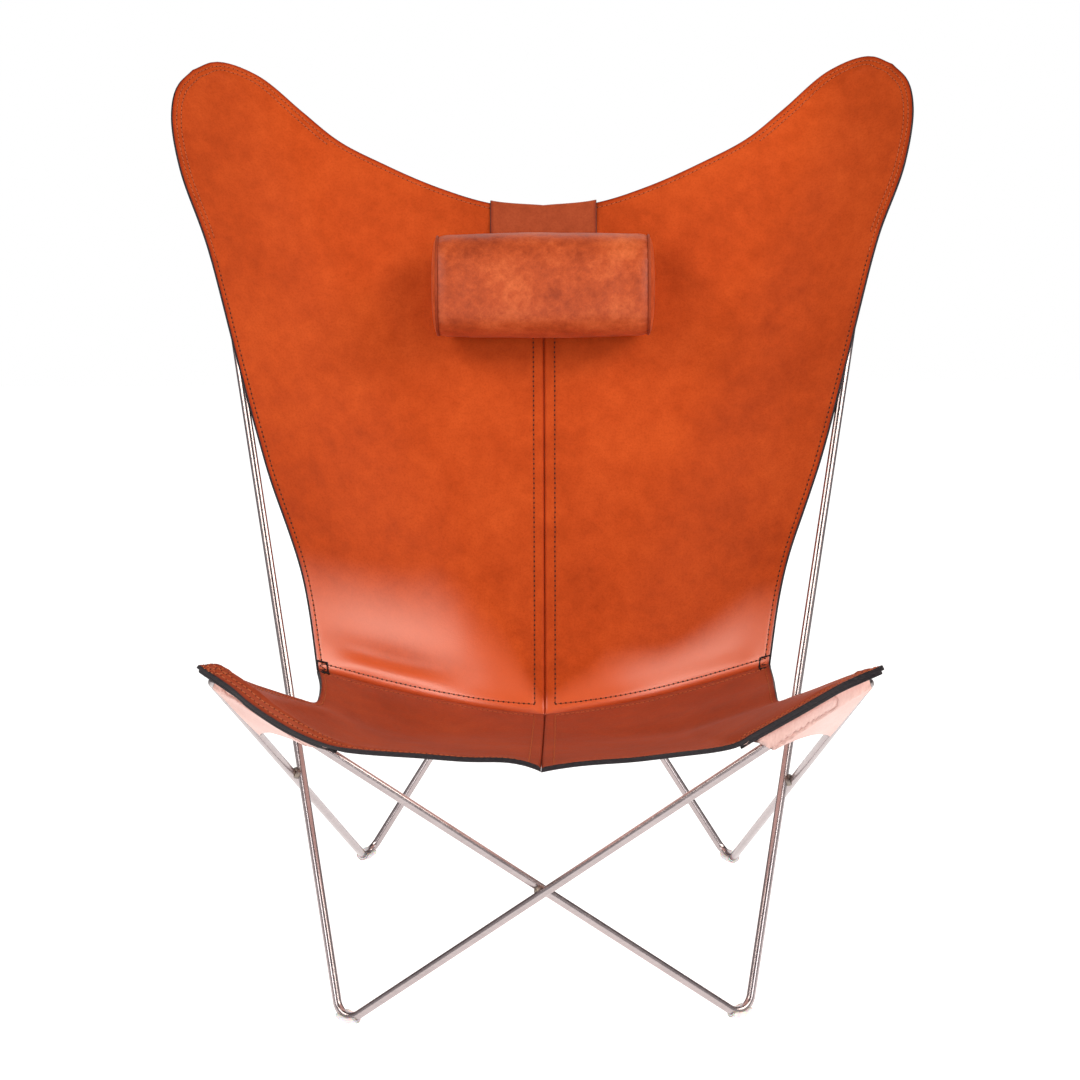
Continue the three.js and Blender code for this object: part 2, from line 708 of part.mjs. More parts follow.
// A box of thread on the seat, inside the end of the waist seam.
function tack(name, grid) {
  const [near, far] = [grid.at(-3), grid.at(-2)];
  const rise = LEATHER / 2 + CLEARANCE + TACK_T / 2;
  const [a, b, c, d] = [near[0], far[0], far[1], near[1]].map((node) => layer(node, rise, TACK_T).point);
  const half = far[1].normal.clone().multiplyScalar(TACK_T / 2);
  const corner = (from, s, toS, t, toT) => {
    const [alongS, alongT] = [toS.clone().sub(from), toT.clone().sub(from)];
    return { point: from.clone().addScaledVector(alongS, s).addScaledVector(alongT, t), half };
  };
  const [lo, hi] = [TACK_INSET, 1 - TACK_INSET];
  const low = [corner(a, lo, b, lo, d), corner(a, hi, b, lo, d)];
  const high = [corner(c, lo, d, lo, b), corner(a, lo, b, hi, d)];
  add(name, sheetOf([...low, ...high], [[0, 1, 3], [1, 2, 3]]), THREAD);
}

tack('bar_tack_left', SEAT_GRID[-1]);
tack('bar_tack_right', SEAT_GRID[1]);

// Strap. It lies on the front of the back, passes over the top edge and hangs straight down behind it.
const strapOff = LEATHER / 2 + CLEARANCE + STRAP_T / 2;
const topRow = (side) => BACK[side].map((column) => column.at(-1));
const topNodes = [...topRow(-1).reverse(), ...topRow(1)];
const topAt = (x) => {
  const k = topNodes.findIndex((node) => node.point.x > x);
  const [a, b] = [topNodes[k - 1].point, topNodes[k].point];
  return between(a, b, (x - a.x) / (b.x - a.x));
};
const underStrap = topNodes.map((node) => node.point.x).filter((x) => Math.abs(x) < STRAP_W / 2);
const strapX = [-STRAP_W / 2, ...underStrap, STRAP_W / 2];
const backRight = backSurface(halfOf(1));
const shareAt = (z) => (z - LOW_Z) / (TOP_Z - LOW_Z);
const forward = backRight.normalAt(0, 1);
const upward = vec(0, -forward.z, forward.y).multiplyScalar(-1);
const FRONT_LEG_Z = TOP_Z - STRAP_LEG;

function bendColumn(x) {
  const edge = topAt(x);
  const down = edge.clone().addScaledVector(upward, -(edge.z - FRONT_LEG_Z) / upward.z);
  const column = [{ point: down.addScaledVector(forward, strapOff), half: forward.clone() }];
  for (let k = 0; k <= STRAP_ARC_CUTS; k += 1) {
    const angle = (Math.PI * k) / STRAP_ARC_CUTS;
    const out = forward.clone().multiplyScalar(Math.cos(angle)).addScaledVector(upward, Math.sin(angle));
    column.push({ point: edge.clone().addScaledVector(out, strapOff), half: out });
  }
  column.push({ point: column.at(-1).point.clone().setZ(FRONT_LEG_Z), half: vec(0, 1, 0) });
  column.forEach((node) => node.half.multiplyScalar(STRAP_T / 2));
  return column;
}

const bends = strapX.map(bendColumn);
add('strap_bend', blockOf(bends), ROLL);

const frontFrom = FRONT_LEG_Z - CLEARANCE;
const frontTo = TOP_Z - HEADREST_DROP;
const frontColumn = (x) => Array.from({ length: STRAP_CUTS + 1 }, (_, k) => {
  const share = shareAt(THREE.MathUtils.lerp(frontFrom, frontTo, k / STRAP_CUTS));
  const normal = backRight.normalAt(0, share);
  const point = backRight.at(0, share).setX(x).addScaledVector(normal, strapOff);
  return { point, half: normal.multiplyScalar(STRAP_T / 2) };
});
add('strap_front', blockOf(strapX.map(frontColumn)), ROLL);

const pouchTop = FRONT_LEG_Z - STRAP_TAIL;
const rearColumn = (column, i) => [frontFrom, pouchTop + CLEARANCE].map((z) => ({
  point: column.at(-1).point.clone().setX(strapX[i]).setZ(z), half: column.at(-1).half,
}));
add('strap_rear', blockOf(bends.map(rearColumn)), ROLL);

// Counterweight: a steel bar in a sleeve of leather that is open at both ends.
function roundedBox(width, height, corner) {
  const [w, h] = [width / 2 - corner, height / 2 - corner];
  const shape = new THREE.Shape();
  shape.absarc(w, h, corner, 0, Math.PI / 2);
  shape.absarc(-w, h, corner, Math.PI / 2, Math.PI);
  shape.absarc(-w, -h, corner, Math.PI, 1.5 * Math.PI);
  shape.absarc(w, -h, corner, 1.5 * Math.PI, 2 * Math.PI);
  return shape;
}

function lengthwise(shape, length, at) {
  const options = { depth: length, bevelEnabled: false, curveSegments: 5 };
  const geometry = new THREE.ExtrudeGeometry(shape, options);
  geometry.translate(0, 0, -length / 2);
  geometry.applyMatrix4(new THREE.Matrix4().makeBasis(vec(0, 1, 0), vec(0, 0, 1), vec(1, 0, 0)));
  return closed(geometry.translate(at.x, at.y, at.z));
}

const pouchAt = vec(0, bends[Math.floor(bends.length / 2)].at(-1).point.y, pouchTop - POUCH_H / 2);
const pouchSection = (inset) => roundedBox(
  POUCH_DEPTH - 2 * inset, POUCH_H - 2 * inset, POUCH_CORNER - inset,
);
const pouchShape = pouchSection(0);
pouchShape.holes.push(pouchSection(POUCH_WALL));
add('counterweight_pouch', lengthwise(pouchShape, STRAP_W, pouchAt), ROLL);
const barShape = pouchSection(POUCH_WALL + CLEARANCE);
add('counterweight_bar', lengthwise(barShape, STRAP_W - 2 * BAR_INSET, pouchAt), WELD);

// Headrest: a sleeve over a foam core, closed by two domed ends. Its section is an oval, flatter at the
// back, and it draws in a little towards the ends.
const leanShare = shareAt(TOP_Z - HEADREST_DROP);
const faceOut = backRight.normalAt(0, leanShare);
const faceUp = vec(0, faceOut.z, -faceOut.y);
const restsOn = backRight.at(0, leanShare).setX(0);
const standOff = strapOff + STRAP_T / 2 + 2 * CLEARANCE;
const headrestAt = restsOn.addScaledVector(faceOut, standOff + HEADREST_DEPTH / 2);

function oval(x, inset, shrink = 1) {
  const draw = shrink * (1 - HEADREST_DRAW_IN * Math.abs((2 * x) / HEADREST_L) ** 3);
  const squarer = (value) => Math.sign(value) * Math.abs(value) ** (2 / HEADREST_SQUARE);
  return Array.from({ length: HEADREST_SIDES }, (_, k) => {
    const angle = (2 * Math.PI * k) / HEADREST_SIDES;
    const [out, up] = [HEADREST_DEPTH / 2 - inset, HEADREST_H / 2 - inset].map((r) => r * draw);
    return headrestAt.clone().setX(x)
      .addScaledVector(faceOut, out * squarer(Math.cos(angle)))
      .addScaledVector(faceUp, up * squarer(Math.sin(angle)));
  });
}

// Closed skin over rings of points. The first and last ring either meet each other or are capped.
function ringsOf(rings, looped) {
  const count = rings[0].length;
  const position = rings.flat().flatMap((p) => p.toArray());
  const index = [];
  const bands = looped ? rings.length : rings.length - 1;
  for (let i = 0; i < bands; i += 1) {
    for (let k = 0; k < count; k += 1) {
      const [a, b] = [i * count + k, i * count + ((k + 1) % count)];
      const [c, d] = [a, b].map((n) => (n + count) % (rings.length * count));
      index.push(a, b, d, a, d, c);
    }
  }
  if (!looped) {
    [0, rings.length - 1].forEach((i) => {
      const centre = rings[i].reduce((sum, p) => sum.add(p), vec(0, 0, 0)).divideScalar(count);
      const hub = position.push(...centre.toArray()) / 3 - 1;
      for (let k = 0; k < count; k += 1) {
        const [a, b] = [i * count + k, i * count + ((k + 1) % count)];
        index.push(...(i === 0 ? [hub, b, a] : [hub, a, b]));
      }
    });
  }
  const geometry = new THREE.BufferGeometry();
  geometry.setAttribute('position', new THREE.Float32BufferAttribute(position, 3));
  geometry.setIndex(index);
  return closed(geometry);
}

const headrestStations = Array.from({ length: HEADREST_CUTS + 1 }, (_, i) => i / HEADREST_CUTS - 0.5);
const stationsX = headrestStations.map((share) => HEADREST_L * share);
const skinRings = stationsX.map((x) => oval(x, 0));
const liningRings = stationsX.map((x) => oval(x, HEADREST_SKIN));
add('headrest_cover', ringsOf([...skinRings, ...liningRings.reverse()], true), ROLL);
add('headrest_core', ringsOf(stationsX.map((x) => oval(x, HEADREST_SKIN + CLEARANCE)), false), FOAM);

for (const [label, side] of Object.entries(SIDES)) {
  const inner = HEADREST_L / 2 + CLEARANCE;
  const end = (side * HEADREST_L) / 2;
  const ring = (shrink, out) => oval(end, 0, shrink).map((p) => p.setX(side * (inner + out)));
  const domes = [1, 0.9, 0.72, 0.45, 0.2].map((r) => ring(r, HEADREST_RIM + HEADREST_DOME * (1 - r * r)));
  add(`headrest_end_${label}`, ringsOf([ring(1, 0), ...domes], false), ROLL);
}

// The origin lies on the floor, under the middle of the chair.
const box = new THREE.Box3().setFromObject(chair);
const centre = box.getCenter(vec());
chair.children.forEach((mesh) => mesh.geometry.translate(-centre.x, -centre.y, -box.min.z));

export default chair;
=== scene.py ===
import math

import bpy
import numpy as np
from mathutils import Matrix, Vector, noise
from mathutils.bvhtree import BVHTree
from mathutils.kdtree import KDTree


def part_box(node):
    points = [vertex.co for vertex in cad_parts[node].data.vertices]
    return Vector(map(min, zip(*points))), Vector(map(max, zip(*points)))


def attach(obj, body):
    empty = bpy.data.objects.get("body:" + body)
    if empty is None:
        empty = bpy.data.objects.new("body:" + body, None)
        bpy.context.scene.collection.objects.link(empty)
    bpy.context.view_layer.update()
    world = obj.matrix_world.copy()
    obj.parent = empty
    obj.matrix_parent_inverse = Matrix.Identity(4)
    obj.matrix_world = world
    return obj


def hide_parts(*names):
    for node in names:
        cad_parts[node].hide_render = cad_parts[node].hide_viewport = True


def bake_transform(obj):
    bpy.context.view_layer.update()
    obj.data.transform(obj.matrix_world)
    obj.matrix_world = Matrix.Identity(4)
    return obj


# A butterfly lounge chair: two bent steel rods, a leather sling on their four upper bends, and a roll
# headrest on a strap with a counterweight. Metres, +Z up, the sitter faces -Y.

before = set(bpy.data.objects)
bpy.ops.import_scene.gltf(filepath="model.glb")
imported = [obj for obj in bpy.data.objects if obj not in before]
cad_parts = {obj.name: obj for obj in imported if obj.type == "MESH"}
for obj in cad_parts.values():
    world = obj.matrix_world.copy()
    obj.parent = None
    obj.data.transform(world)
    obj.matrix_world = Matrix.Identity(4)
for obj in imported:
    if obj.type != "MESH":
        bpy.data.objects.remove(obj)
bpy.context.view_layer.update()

# Frame, as in the CAD model: corners are where the middles of two straight runs would meet.
ROD_R = 0.005
FRONT_FEET_X = 0.224
REAR_FEET_X = 0.235
FEET_DEPTH = 0.441
PEAK = (0.443, 0.618, 1.057)
WING_Y = -0.155
WING_Z = 0.459
FOOT_BEND = 0.020
PEAK_BEND = 0.028
WING_BEND = 0.018
WELD_GAP = 0.001
BUTT_FROM_WING = 0.090
BUTT_REACH = 0.006
BEND_CUTS = 25
GLIDE_UNDER = 0.003
GLIDE_R = 0.009
GLIDE_HEIGHT = 0.010
GLIDE_SWEEP = math.radians(64)

# Sling, measured on the middle of its thickness.
LEATHER = 0.0036
CLEARANCE = 0.0003
TOP_Y = 0.545
TOP_Z = 0.822
LOW_Y = 0.272
LOW_Z = 0.257
FRONT_Y = -0.085
FRONT_Z = 0.331
WAIST_X = 0.261
WAIST_Z = 0.335
SEAM_POWER = 1.8
BACK_BELLY = 0.245
TOP_SWEEP = 1.2
FLANK_ROUND_LOW = 0.120
FLANK_ROUND_TOP = 0.050
SEAT_SAG = 0.005
RIDGE_ROUND = 0.005
PEAK_TIP = (0.017, 0.0, 0.007)
WING_TIP = (0.015, -0.023, 0.025)
SLING_OFF = ROD_R + CLEARANCE + LEATHER / 2

# Outlines of one half, as shares of the way from the first point to the tip.
TOP_EDGE = [(0, 0), (0.15, 0.035), (0.3, 0.145), (0.455, 0.305), (0.59, 0.47),
            (0.7, 0.675), (0.835, 0.94), (0.945, 1.045), (1, 1)]
OUTER_EDGE = [(0, 0), (0.115, 0.15), (0.385, 0.34), (0.59, 0.5), (0.83, 0.7),
              (1.035, 0.835), (1.11, 0.93), (1.085, 0.975), (1, 1)]
FRONT_MIDDLE = [(0, 0, 0), (0.155, 0.04, 0.05), (0.34, 0.15, 0.115)]
PEAK_POCKET = (0.42, 0.30)
WING_POCKET = (0.45, 0.42)

# The two wings: on the left the edge is turned down over the rod, on the right it stands out from it.
# Reach is how far the leather lies level past the rod, and fall how fast it drops beyond.
WINGS = {
    -1: {"front": FRONT_MIDDLE + [(0.595, 0.462, 0.243), (0.658, 0.619, 0.323), (0.73, 0.754, 0.438),
                                  (0.798, 0.861, 0.569), (0.863, 0.951, 0.715), (0.902, 1.01, 0.822),
                                  (1, 1, 1)],
         "side": [(0, 0, 0), (-0.131, 0.16, 0.028), (-0.185, 0.3, 0.051), (-0.179, 0.42, 0.107),
                  (0.001, 0.56, 0.288), (0.259, 0.68, 0.476), (0.475, 0.8, 0.657), (0.626, 0.9, 0.817),
                  (0.786, 0.96, 0.966), (1, 1, 1)],
         "reach": 0.0055, "fall": 200.0},
    1: {"front": FRONT_MIDDLE + [(0.583, 0.488, 0.287), (0.639, 0.595, 0.393), (0.707, 0.702, 0.522),
                                 (0.776, 0.804, 0.651), (0.844, 0.905, 0.78), (0.889, 0.984, 0.867),
                                 (1, 1, 1)],
        "side": [(0, 0, 0), (-0.009, 0.16, 0.018), (-0.047, 0.3, 0.067), (-0.047, 0.42, 0.09),
                 (0.129, 0.56, 0.296), (0.34, 0.68, 0.486), (0.525, 0.8, 0.673), (0.705, 0.91, 0.843),
                 (1, 1, 1)],
        "reach": 0.009, "fall": 45.0},
}

# Needlework.
PITCH = 0.0060
SEAM_ROW = 0.0126
WAIST_ROW = 0.0140
EDGE_ROW = 0.0056
POCKET_ROW = 0.0116
THREAD_R = 0.0005
STRIP_W = 0.040
STRIP_T = 0.002

# Headrest, strap and counterweight.
HEADREST_DROP = 0.100
HEADREST_L = 0.254
HEADREST_H = 0.126
HEADREST_DEPTH = 0.092
HEADREST_SQUARE = 2.5
HEADREST_DRAW_IN = 0.05
STRAP_W = 0.130
STRAP_T = 0.0025
STRAP_LEG = 0.012
STRAP_TAIL = 0.106
POUCH_H = 0.070
POUCH_DEPTH = 0.015

SIDES = {"left": -1, "right": 1}


# Vectors.

def unit(v):
    return v / np.maximum(np.linalg.norm(v, axis=-1, keepdims=True), 1e-12)


def dot(a, b):
    return np.sum(a * b, axis=-1)


def smoothstep(x, low, high):
    t = np.clip((x - low) / (high - low), 0, 1)
    return t * t * (3 - 2 * t)


def bump(x, middle, width):
    return np.exp(-(((x - middle) / width) ** 2))


def rounded_min(a, b, width):
    near = np.maximum(width - np.abs(a - b), 0) / width
    return np.minimum(a, b) - near * near * width / 4


def walked(points):
    """Length along a line of points, from its first one."""
    steps = np.linalg.norm(np.diff(points, axis=0), axis=1)
    return np.concatenate([[0], np.cumsum(steps)])


def along(points, length):
    """Points at the given lengths along a line."""
    s = walked(points)
    return np.stack([np.interp(length, s, points[:, k]) for k in range(3)], axis=1)


# Rods.

class Bend:
    """The arc that rounds the corner at c between the runs from a and to b."""

    def __init__(self, a, c, b, radius):
        self.u = unit(a - c)
        self.v = unit(b - c)
        half = math.acos(dot(self.u, self.v)) / 2
        inward = unit(self.u + self.v)
        self.radius = radius
        self.centre = c + inward * radius / math.sin(half)
        self.start = unit(c + self.u * radius / math.tan(half) - self.centre)
        self.on = unit(-inward + self.start * dot(inward, self.start))
        self.sweep = math.pi - 2 * half
        self.normal = np.cross(self.start, self.on)
        self.lowest = self.centre[2] - radius * math.sqrt(1 - self.normal[2] ** 2)
        self.apex = self.at(self.sweep / 2)

    def at(self, angle):
        angle = np.asarray(angle, float)[..., None]
        turn = self.start * np.cos(angle) + self.on * np.sin(angle)
        return self.centre + self.radius * turn


def far(corner):
    return corner * np.array([-1.0, 1.0, 1.0])


def side_gap(foot, peak, rear, wing):
    normal = unit(np.cross(peak - foot, wing - rear))
    return dot(wing - foot, normal * np.sign(normal[0]))


def corners_of_side():
    """Corners on the right: the feet stand on their glides and the side rod lies against the leg."""
    foot = np.array([FRONT_FEET_X, 0, 0])
    peak = np.array(PEAK)
    rear = np.array([REAR_FEET_X, FEET_DEPTH, 0])
    wing = np.array([0, WING_Y, WING_Z])
    for _ in range(12):
        low, high = 0.0, 2 * peak[0]
        for _ in range(40):
            wing[0] = (low + high) / 2
            if side_gap(foot, peak, rear, wing) < 2 * ROD_R + WELD_GAP:
                low = wing[0]
            else:
                high = wing[0]
        floor = ROD_R + GLIDE_UNDER
        foot[2] += floor - Bend(far(wing), foot, peak, FOOT_BEND).lowest
        rear[2] += floor - Bend(far(peak), rear, wing, FOOT_BEND).lowest
    return foot, peak, rear, wing


FOOT, PEAK_CORNER, REAR, WING = corners_of_side()
RISE = WING[2] - FOOT[2]
RUN = WING[1] - FOOT[1]
ROD_SHIFT = (2 * ROD_R + WELD_GAP) / 2 * math.hypot(RISE, RUN) / RISE


class Rod:
    """A closed loop of rod, named by the side of its front foot."""

    def __init__(self, side):
        def place(corner, to):
            return np.array([to * corner[0], corner[1] + side * ROD_SHIFT, corner[2]])

        self.foot = place(FOOT, side)
        self.peak = place(PEAK_CORNER, side)
        self.rear = place(REAR, -side)
        self.wing = place(WING, -side)
        self.wing_bend = Bend(self.rear, self.wing, self.foot, WING_BEND)
        self.foot_bend = Bend(self.wing, self.foot, self.peak, FOOT_BEND)
        self.peak_bend = Bend(self.foot, self.peak, self.rear, PEAK_BEND)
        self.rear_bend = Bend(self.peak, self.rear, self.wing, FOOT_BEND)

    def path(self):
        """Points round the loop, with some of them close about the butt weld."""
        run = unit(self.wing - self.rear)
        butt = self.wing - run * BUTT_FROM_WING
        near = [butt + run * d for d in np.linspace(-BUTT_REACH, BUTT_REACH, 13)]
        arcs = [b.at(np.linspace(0, b.sweep, BEND_CUTS))
                for b in (self.wing_bend, self.foot_bend, self.peak_bend, self.rear_bend)]
        return np.concatenate([near, *arcs]), butt


RODS = {side: Rod(side) for side in (-1, 1)}
ROD_PATHS = np.concatenate([rod.path()[0] for rod in RODS.values()])
CAD_RODS = [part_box(f"frame_rod_{label}") for label in SIDES]
CAD_MIDDLE = (min(low.y for low, _ in CAD_RODS) + max(high.y for _, high in CAD_RODS)) / 2
ORIGIN = np.array([0, (ROD_PATHS[:, 1].min() + ROD_PATHS[:, 1].max()) / 2 - CAD_MIDDLE, 0])


# Surfaces of the sling.

def smooth_edge(points):
    """A curve through the points, walked by its length."""
    inner = np.array(points, float)
    knots = np.concatenate([[2 * inner[0] - inner[1]], inner, [2 * inner[-1] - inner[-2]]])
    spans = len(inner) - 1

    def at(t):
        span = np.minimum((t * spans).astype(int), spans - 1)
        w = (t * spans - span)[:, None]
        p0, p1, p2, p3 = (knots[span + k] for k in range(4))
        d0, d1, d2 = (np.sqrt(np.linalg.norm(b - a, axis=1))[:, None]
                      for a, b in ((p0, p1), (p1, p2), (p2, p3)))
        t1 = ((p1 - p0) / d0 - (p2 - p0) / (d0 + d1) + (p2 - p1) / d1) * d1
        t2 = ((p2 - p1) / d1 - (p3 - p1) / (d1 + d2) + (p3 - p2) / d2) * d1
        cubic = 2 * p1 - 2 * p2 + t1 + t2
        return p1 + t1 * w + (3 * p2 - 3 * p1 - 2 * t1 - t2) * w ** 2 + cubic * w ** 3

    steps = np.linspace(0, 1, 201)
    lengths = walked(at(steps))
    return lambda s: at(np.interp(s * lengths[-1], lengths, steps))


def patch(bottom, top, left, right):
    """The surface filled in between four edges that meet at their ends."""
    zero, one = np.zeros(1), np.ones(1)
    c00, c10, c01, c11 = bottom(zero), bottom(one), top(zero), top(one)

    def at(u, v):
        s, t = u[:, None], v[:, None]
        ruled = bottom(u) * (1 - t) + top(u) * t + left(v) * (1 - s) + right(v) * s
        flat = c00 * (1 - s) * (1 - t) + c10 * s * (1 - t) + c01 * (1 - s) * t + c11 * s * t
        return ruled - flat

    return at


class Hold:
    """The bend of rod that a tip of the sling hangs on, with the plane of its two runs."""

    def __init__(self, bend, corner, facing):
        self.bend = bend
        self.point = corner
        normal = unit(np.cross(bend.u, bend.v))
        self.normal = normal * np.sign(dot(normal, np.array(facing)))

    def above(self, p):
        return dot(p - self.point, self.normal)

    def outside(self, p):
        """Distance outside the middle of the rod, seen square to the plane."""
        u, v, radius = self.bend.u, self.bend.v, self.bend.radius
        q = p - self.bend.centre
        q = q - self.normal * dot(q, self.normal)[..., None]
        cos = dot(u, v)
        a, b = dot(q, u), dot(q, v)
        from_u = np.linalg.norm(q - u * np.maximum(a, 0)[..., None], axis=-1)
        from_v = np.linalg.norm(q - v * np.maximum(b, 0)[..., None], axis=-1)
        within = (a - cos * b >= 0) & (b - cos * a >= 0)
        return np.where(within, -radius, np.minimum(from_u, from_v) - radius)


class Back:
    """Half of the back: its middle leans, and its flank lies on the plane of the upper bend."""

    def __init__(self, side):
        self.side = side
        own = RODS[side]
        self.hold = Hold(own.peak_bend, own.peak, (0, -1, 0))
        tip = own.peak_bend.apex + np.array(PEAK_TIP) * np.array([side, 1, 1])
        width, height = side * tip[0], tip[2]

        def edge(x0, z0, shares):
            return smooth_edge([(x0 + (width - x0) * x, 0, z0 + (height - z0) * z) for x, z in shares])

        def seam(u):
            return np.stack([WAIST_X * u, 0 * u, LOW_Z + (WAIST_Z - LOW_Z) * u ** SEAM_POWER], axis=1)

        def middle(v):
            return np.stack([0 * v, 0 * v, LOW_Z + (TOP_Z - LOW_Z) * v], axis=1)

        self.flat = patch(seam, edge(0, TOP_Z, TOP_EDGE), middle, edge(WAIST_X, WAIST_Z, OUTER_EDGE))

    def depth(self, x, z):
        point, normal = self.hold.point, self.hold.normal
        tilt = normal[0] * (self.side * x - point[0]) + normal[2] * (z - point[2])
        flank = point[1] + (SLING_OFF - tilt) / normal[1]
        share = np.maximum((z - LOW_Z) / (TOP_Z - LOW_Z), 0)
        lean = share + BACK_BELLY * np.sqrt(share) * (1 - share)
        middle = LOW_Y + (TOP_Y - LOW_Y) * lean + TOP_SWEEP * np.maximum(z - TOP_Z, 0) ** 2
        width = FLANK_ROUND_LOW + (FLANK_ROUND_TOP - FLANK_ROUND_LOW) * np.minimum(share, 1)
        return rounded_min(flank, middle, width)

    def at(self, u, v):
        x, _, z = self.flat(u, v).T
        return np.stack([self.side * x, self.depth(x, z), z], axis=1)

    def normal(self, u, v):
        x, _, z = self.flat(u, v).T
        step = 0.0005
        dx = (self.depth(x + step, z) - self.depth(x - step, z)) / (2 * step)
        dz = (self.depth(x, z + step) - self.depth(x, z - step)) / (2 * step)
        return unit(np.stack([self.side * dx, -np.ones_like(x), dz], axis=1))


class Seat:
    """Half of the seat: it hangs from the waist and the wing, and rides over the two runs there."""

    def __init__(self, side, back):
        self.side = side
        other = RODS[-side]
        self.hold = Hold(other.wing_bend, other.wing, (0, 0, 1))
        tip = other.wing_bend.apex + np.array(WING_TIP) * np.array([side, 1, 1])
        zero = np.zeros(1)
        front = np.array([0, FRONT_Y, FRONT_Z])
        low = back.at(zero, zero)[0]
        waist = back.at(zero + 1, zero)[0]

        def edge(start, shares):
            return smooth_edge(start + (tip - start) * np.array(shares))

        def middle(v):
            line = low + (front - low) * v[:, None]
            line[:, 2] -= 4 * SEAT_SAG * v * (1 - v)
            return line

        self.wing = WINGS[side]
        self.hung = patch(lambda u: back.at(u, 0 * u), edge(front, self.wing["front"]), middle,
                          edge(waist, self.wing["side"]))

    def at(self, u, v):
        p = self.hung(u, v)
        height = self.hold.above(p)
        over = np.maximum(self.hold.outside(p) - self.wing["reach"], 0)
        needed = SLING_OFF - self.wing["fall"] * over * over
        lift = -rounded_min(-height, -needed, RIDGE_ROUND) - height
        return p + self.hold.normal * lift[:, None]

    def normal(self, u, v):
        step = 0.002
        across = self.at(np.minimum(u + step, 1), v) - self.at(np.maximum(u - step, 0), v)
        ahead = self.at(u, np.minimum(v + step, 1)) - self.at(u, np.maximum(v - step, 0))
        normal = unit(np.cross(across, ahead))
        return normal * np.where(normal[:, 2:] < 0, -1, 1)


BACKS = {side: Back(side) for side in (-1, 1)}
SEATS = {side: Seat(side, BACKS[side]) for side in (-1, 1)}


# Meshes.

def in_scene(name, data):
    obj = bpy.data.objects.new(name, data)
    bpy.context.scene.collection.objects.link(obj)
    return obj


def link(name, verts, faces, materials, index=None, body="chair"):
    """A smooth mesh object in the row frame, from points in the chair's drawing frame."""
    mesh = bpy.data.meshes.new(name)
    mesh.from_pydata((np.asarray(verts) - ORIGIN).tolist(), [], faces)
    mesh.update()
    for material in materials:
        mesh.materials.append(material)
    if index is not None:
        mesh.polygons.foreach_set("material_index", np.asarray(index, np.int32))
    mesh.polygons.foreach_set("use_smooth", np.ones(len(mesh.polygons), bool))
    obj = in_scene(name, mesh)
    if body:
        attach(obj, body)
    return obj


def set_value(obj, name, values):
    """A value for each point of a mesh. Points past the last value get 0."""
    filled = np.zeros(len(obj.data.vertices), np.float32)
    filled[:np.size(values)] = np.ravel(values)
    obj.data.attributes.new(name, "FLOAT", "POINT").data.foreach_set("value", filled)


# Section of a cut edge: share across the thickness and share of the rounding, from front to back.
RIM = [(0.04, 0.5), (0.13, 0.87), (0.27, 1), (0.73, 1), (0.87, 0.87), (0.96, 0.5)]
RIM_ROUND = 0.0007


def outline_of(columns, rows):
    """Vertex numbers round a grid: waist, outer edge, top and middle."""
    grid = np.arange(columns * rows).reshape(columns, rows)
    return np.concatenate([grid[:-1, 0], grid[-1, :-1], grid[:0:-1, -1], grid[0, :0:-1]])


def sheet_faces(front, back, painted):
    """A closed sheet between two grids of points with a rounded rim. painted says which rim points are cut
    edges with edge paint; the others stay flush. Returns points, faces, and the side of each face."""
    columns, rows = front.shape[:2]
    count = columns * rows
    a, b = front.reshape(-1, 3), back.reshape(-1, 3)
    grid = np.arange(count).reshape(columns, rows)
    quads = np.stack([grid[:-1, :-1], grid[1:, :-1], grid[1:, 1:], grid[:-1, 1:]], axis=-1).reshape(-1, 4)
    loop = outline_of(columns, rows)
    ahead = a[np.roll(loop, -1)] - a[np.roll(loop, 1)]
    through = a[loop] - b[loop]
    out = unit(np.cross(ahead, through))
    middle = a.mean(axis=0)
    far_side = dot(out, unit(a[loop] - middle)).mean() < 0
    out = out * (-1 if far_side else 1)
    grow = RIM_ROUND * np.asarray(painted, float)[:, None]
    rings = [a[loop] + (b[loop] - a[loop]) * share + out * grow * r for share, r in RIM]
    points = np.concatenate([a, b, *rings])
    size = len(loop)
    bands = [loop] + [2 * count + k * size + np.arange(size) for k in range(len(RIM))] + [count + loop]
    sides = []
    for first, second in zip(bands, bands[1:]):
        sides.append(np.stack([first, second, np.roll(second, -1), np.roll(first, -1)], axis=-1))
    rim = np.concatenate(sides)
    cut = np.tile(np.asarray(painted, bool) | np.roll(painted, -1).astype(bool), len(sides))
    facing = dot(np.cross(a[quads[:, 1]] - a[quads[:, 0]], a[quads[:, 3]] - a[quads[:, 0]]),
                 a[quads[:, 0]] - b[quads[:, 0]]).sum() > 0
    front_faces, back_faces = (quads, quads[:, ::-1] + count) if facing else (quads[:, ::-1], quads + count)
    if not facing:
        rim = rim[:, ::-1]
    faces = np.concatenate([front_faces, back_faces, rim])
    index = np.concatenate([np.zeros(len(quads)), np.ones(len(quads)), np.where(cut, 2, 0)])
    return points, faces.tolist(), index.astype(int)


def mm(*values):
    return np.array(values) / 1000


# How far from a seam, and from a cut edge, the grid of a panel has its lines.
SEAM_LINES = mm(0, 0.35, 0.8, 1.4, 2.2, 3.2, 4.6, 6.4, 8.6, 10.4, 11.4, 12.2, 13, 14, 16, 19)
EDGE_LINES = mm(20, 17, 15, 13.4, 12.4, 11.6, 10.8, 9.6, 8.2, 7, 6.2, 5.6, 5, 4, 2.6, 1.2, 0)


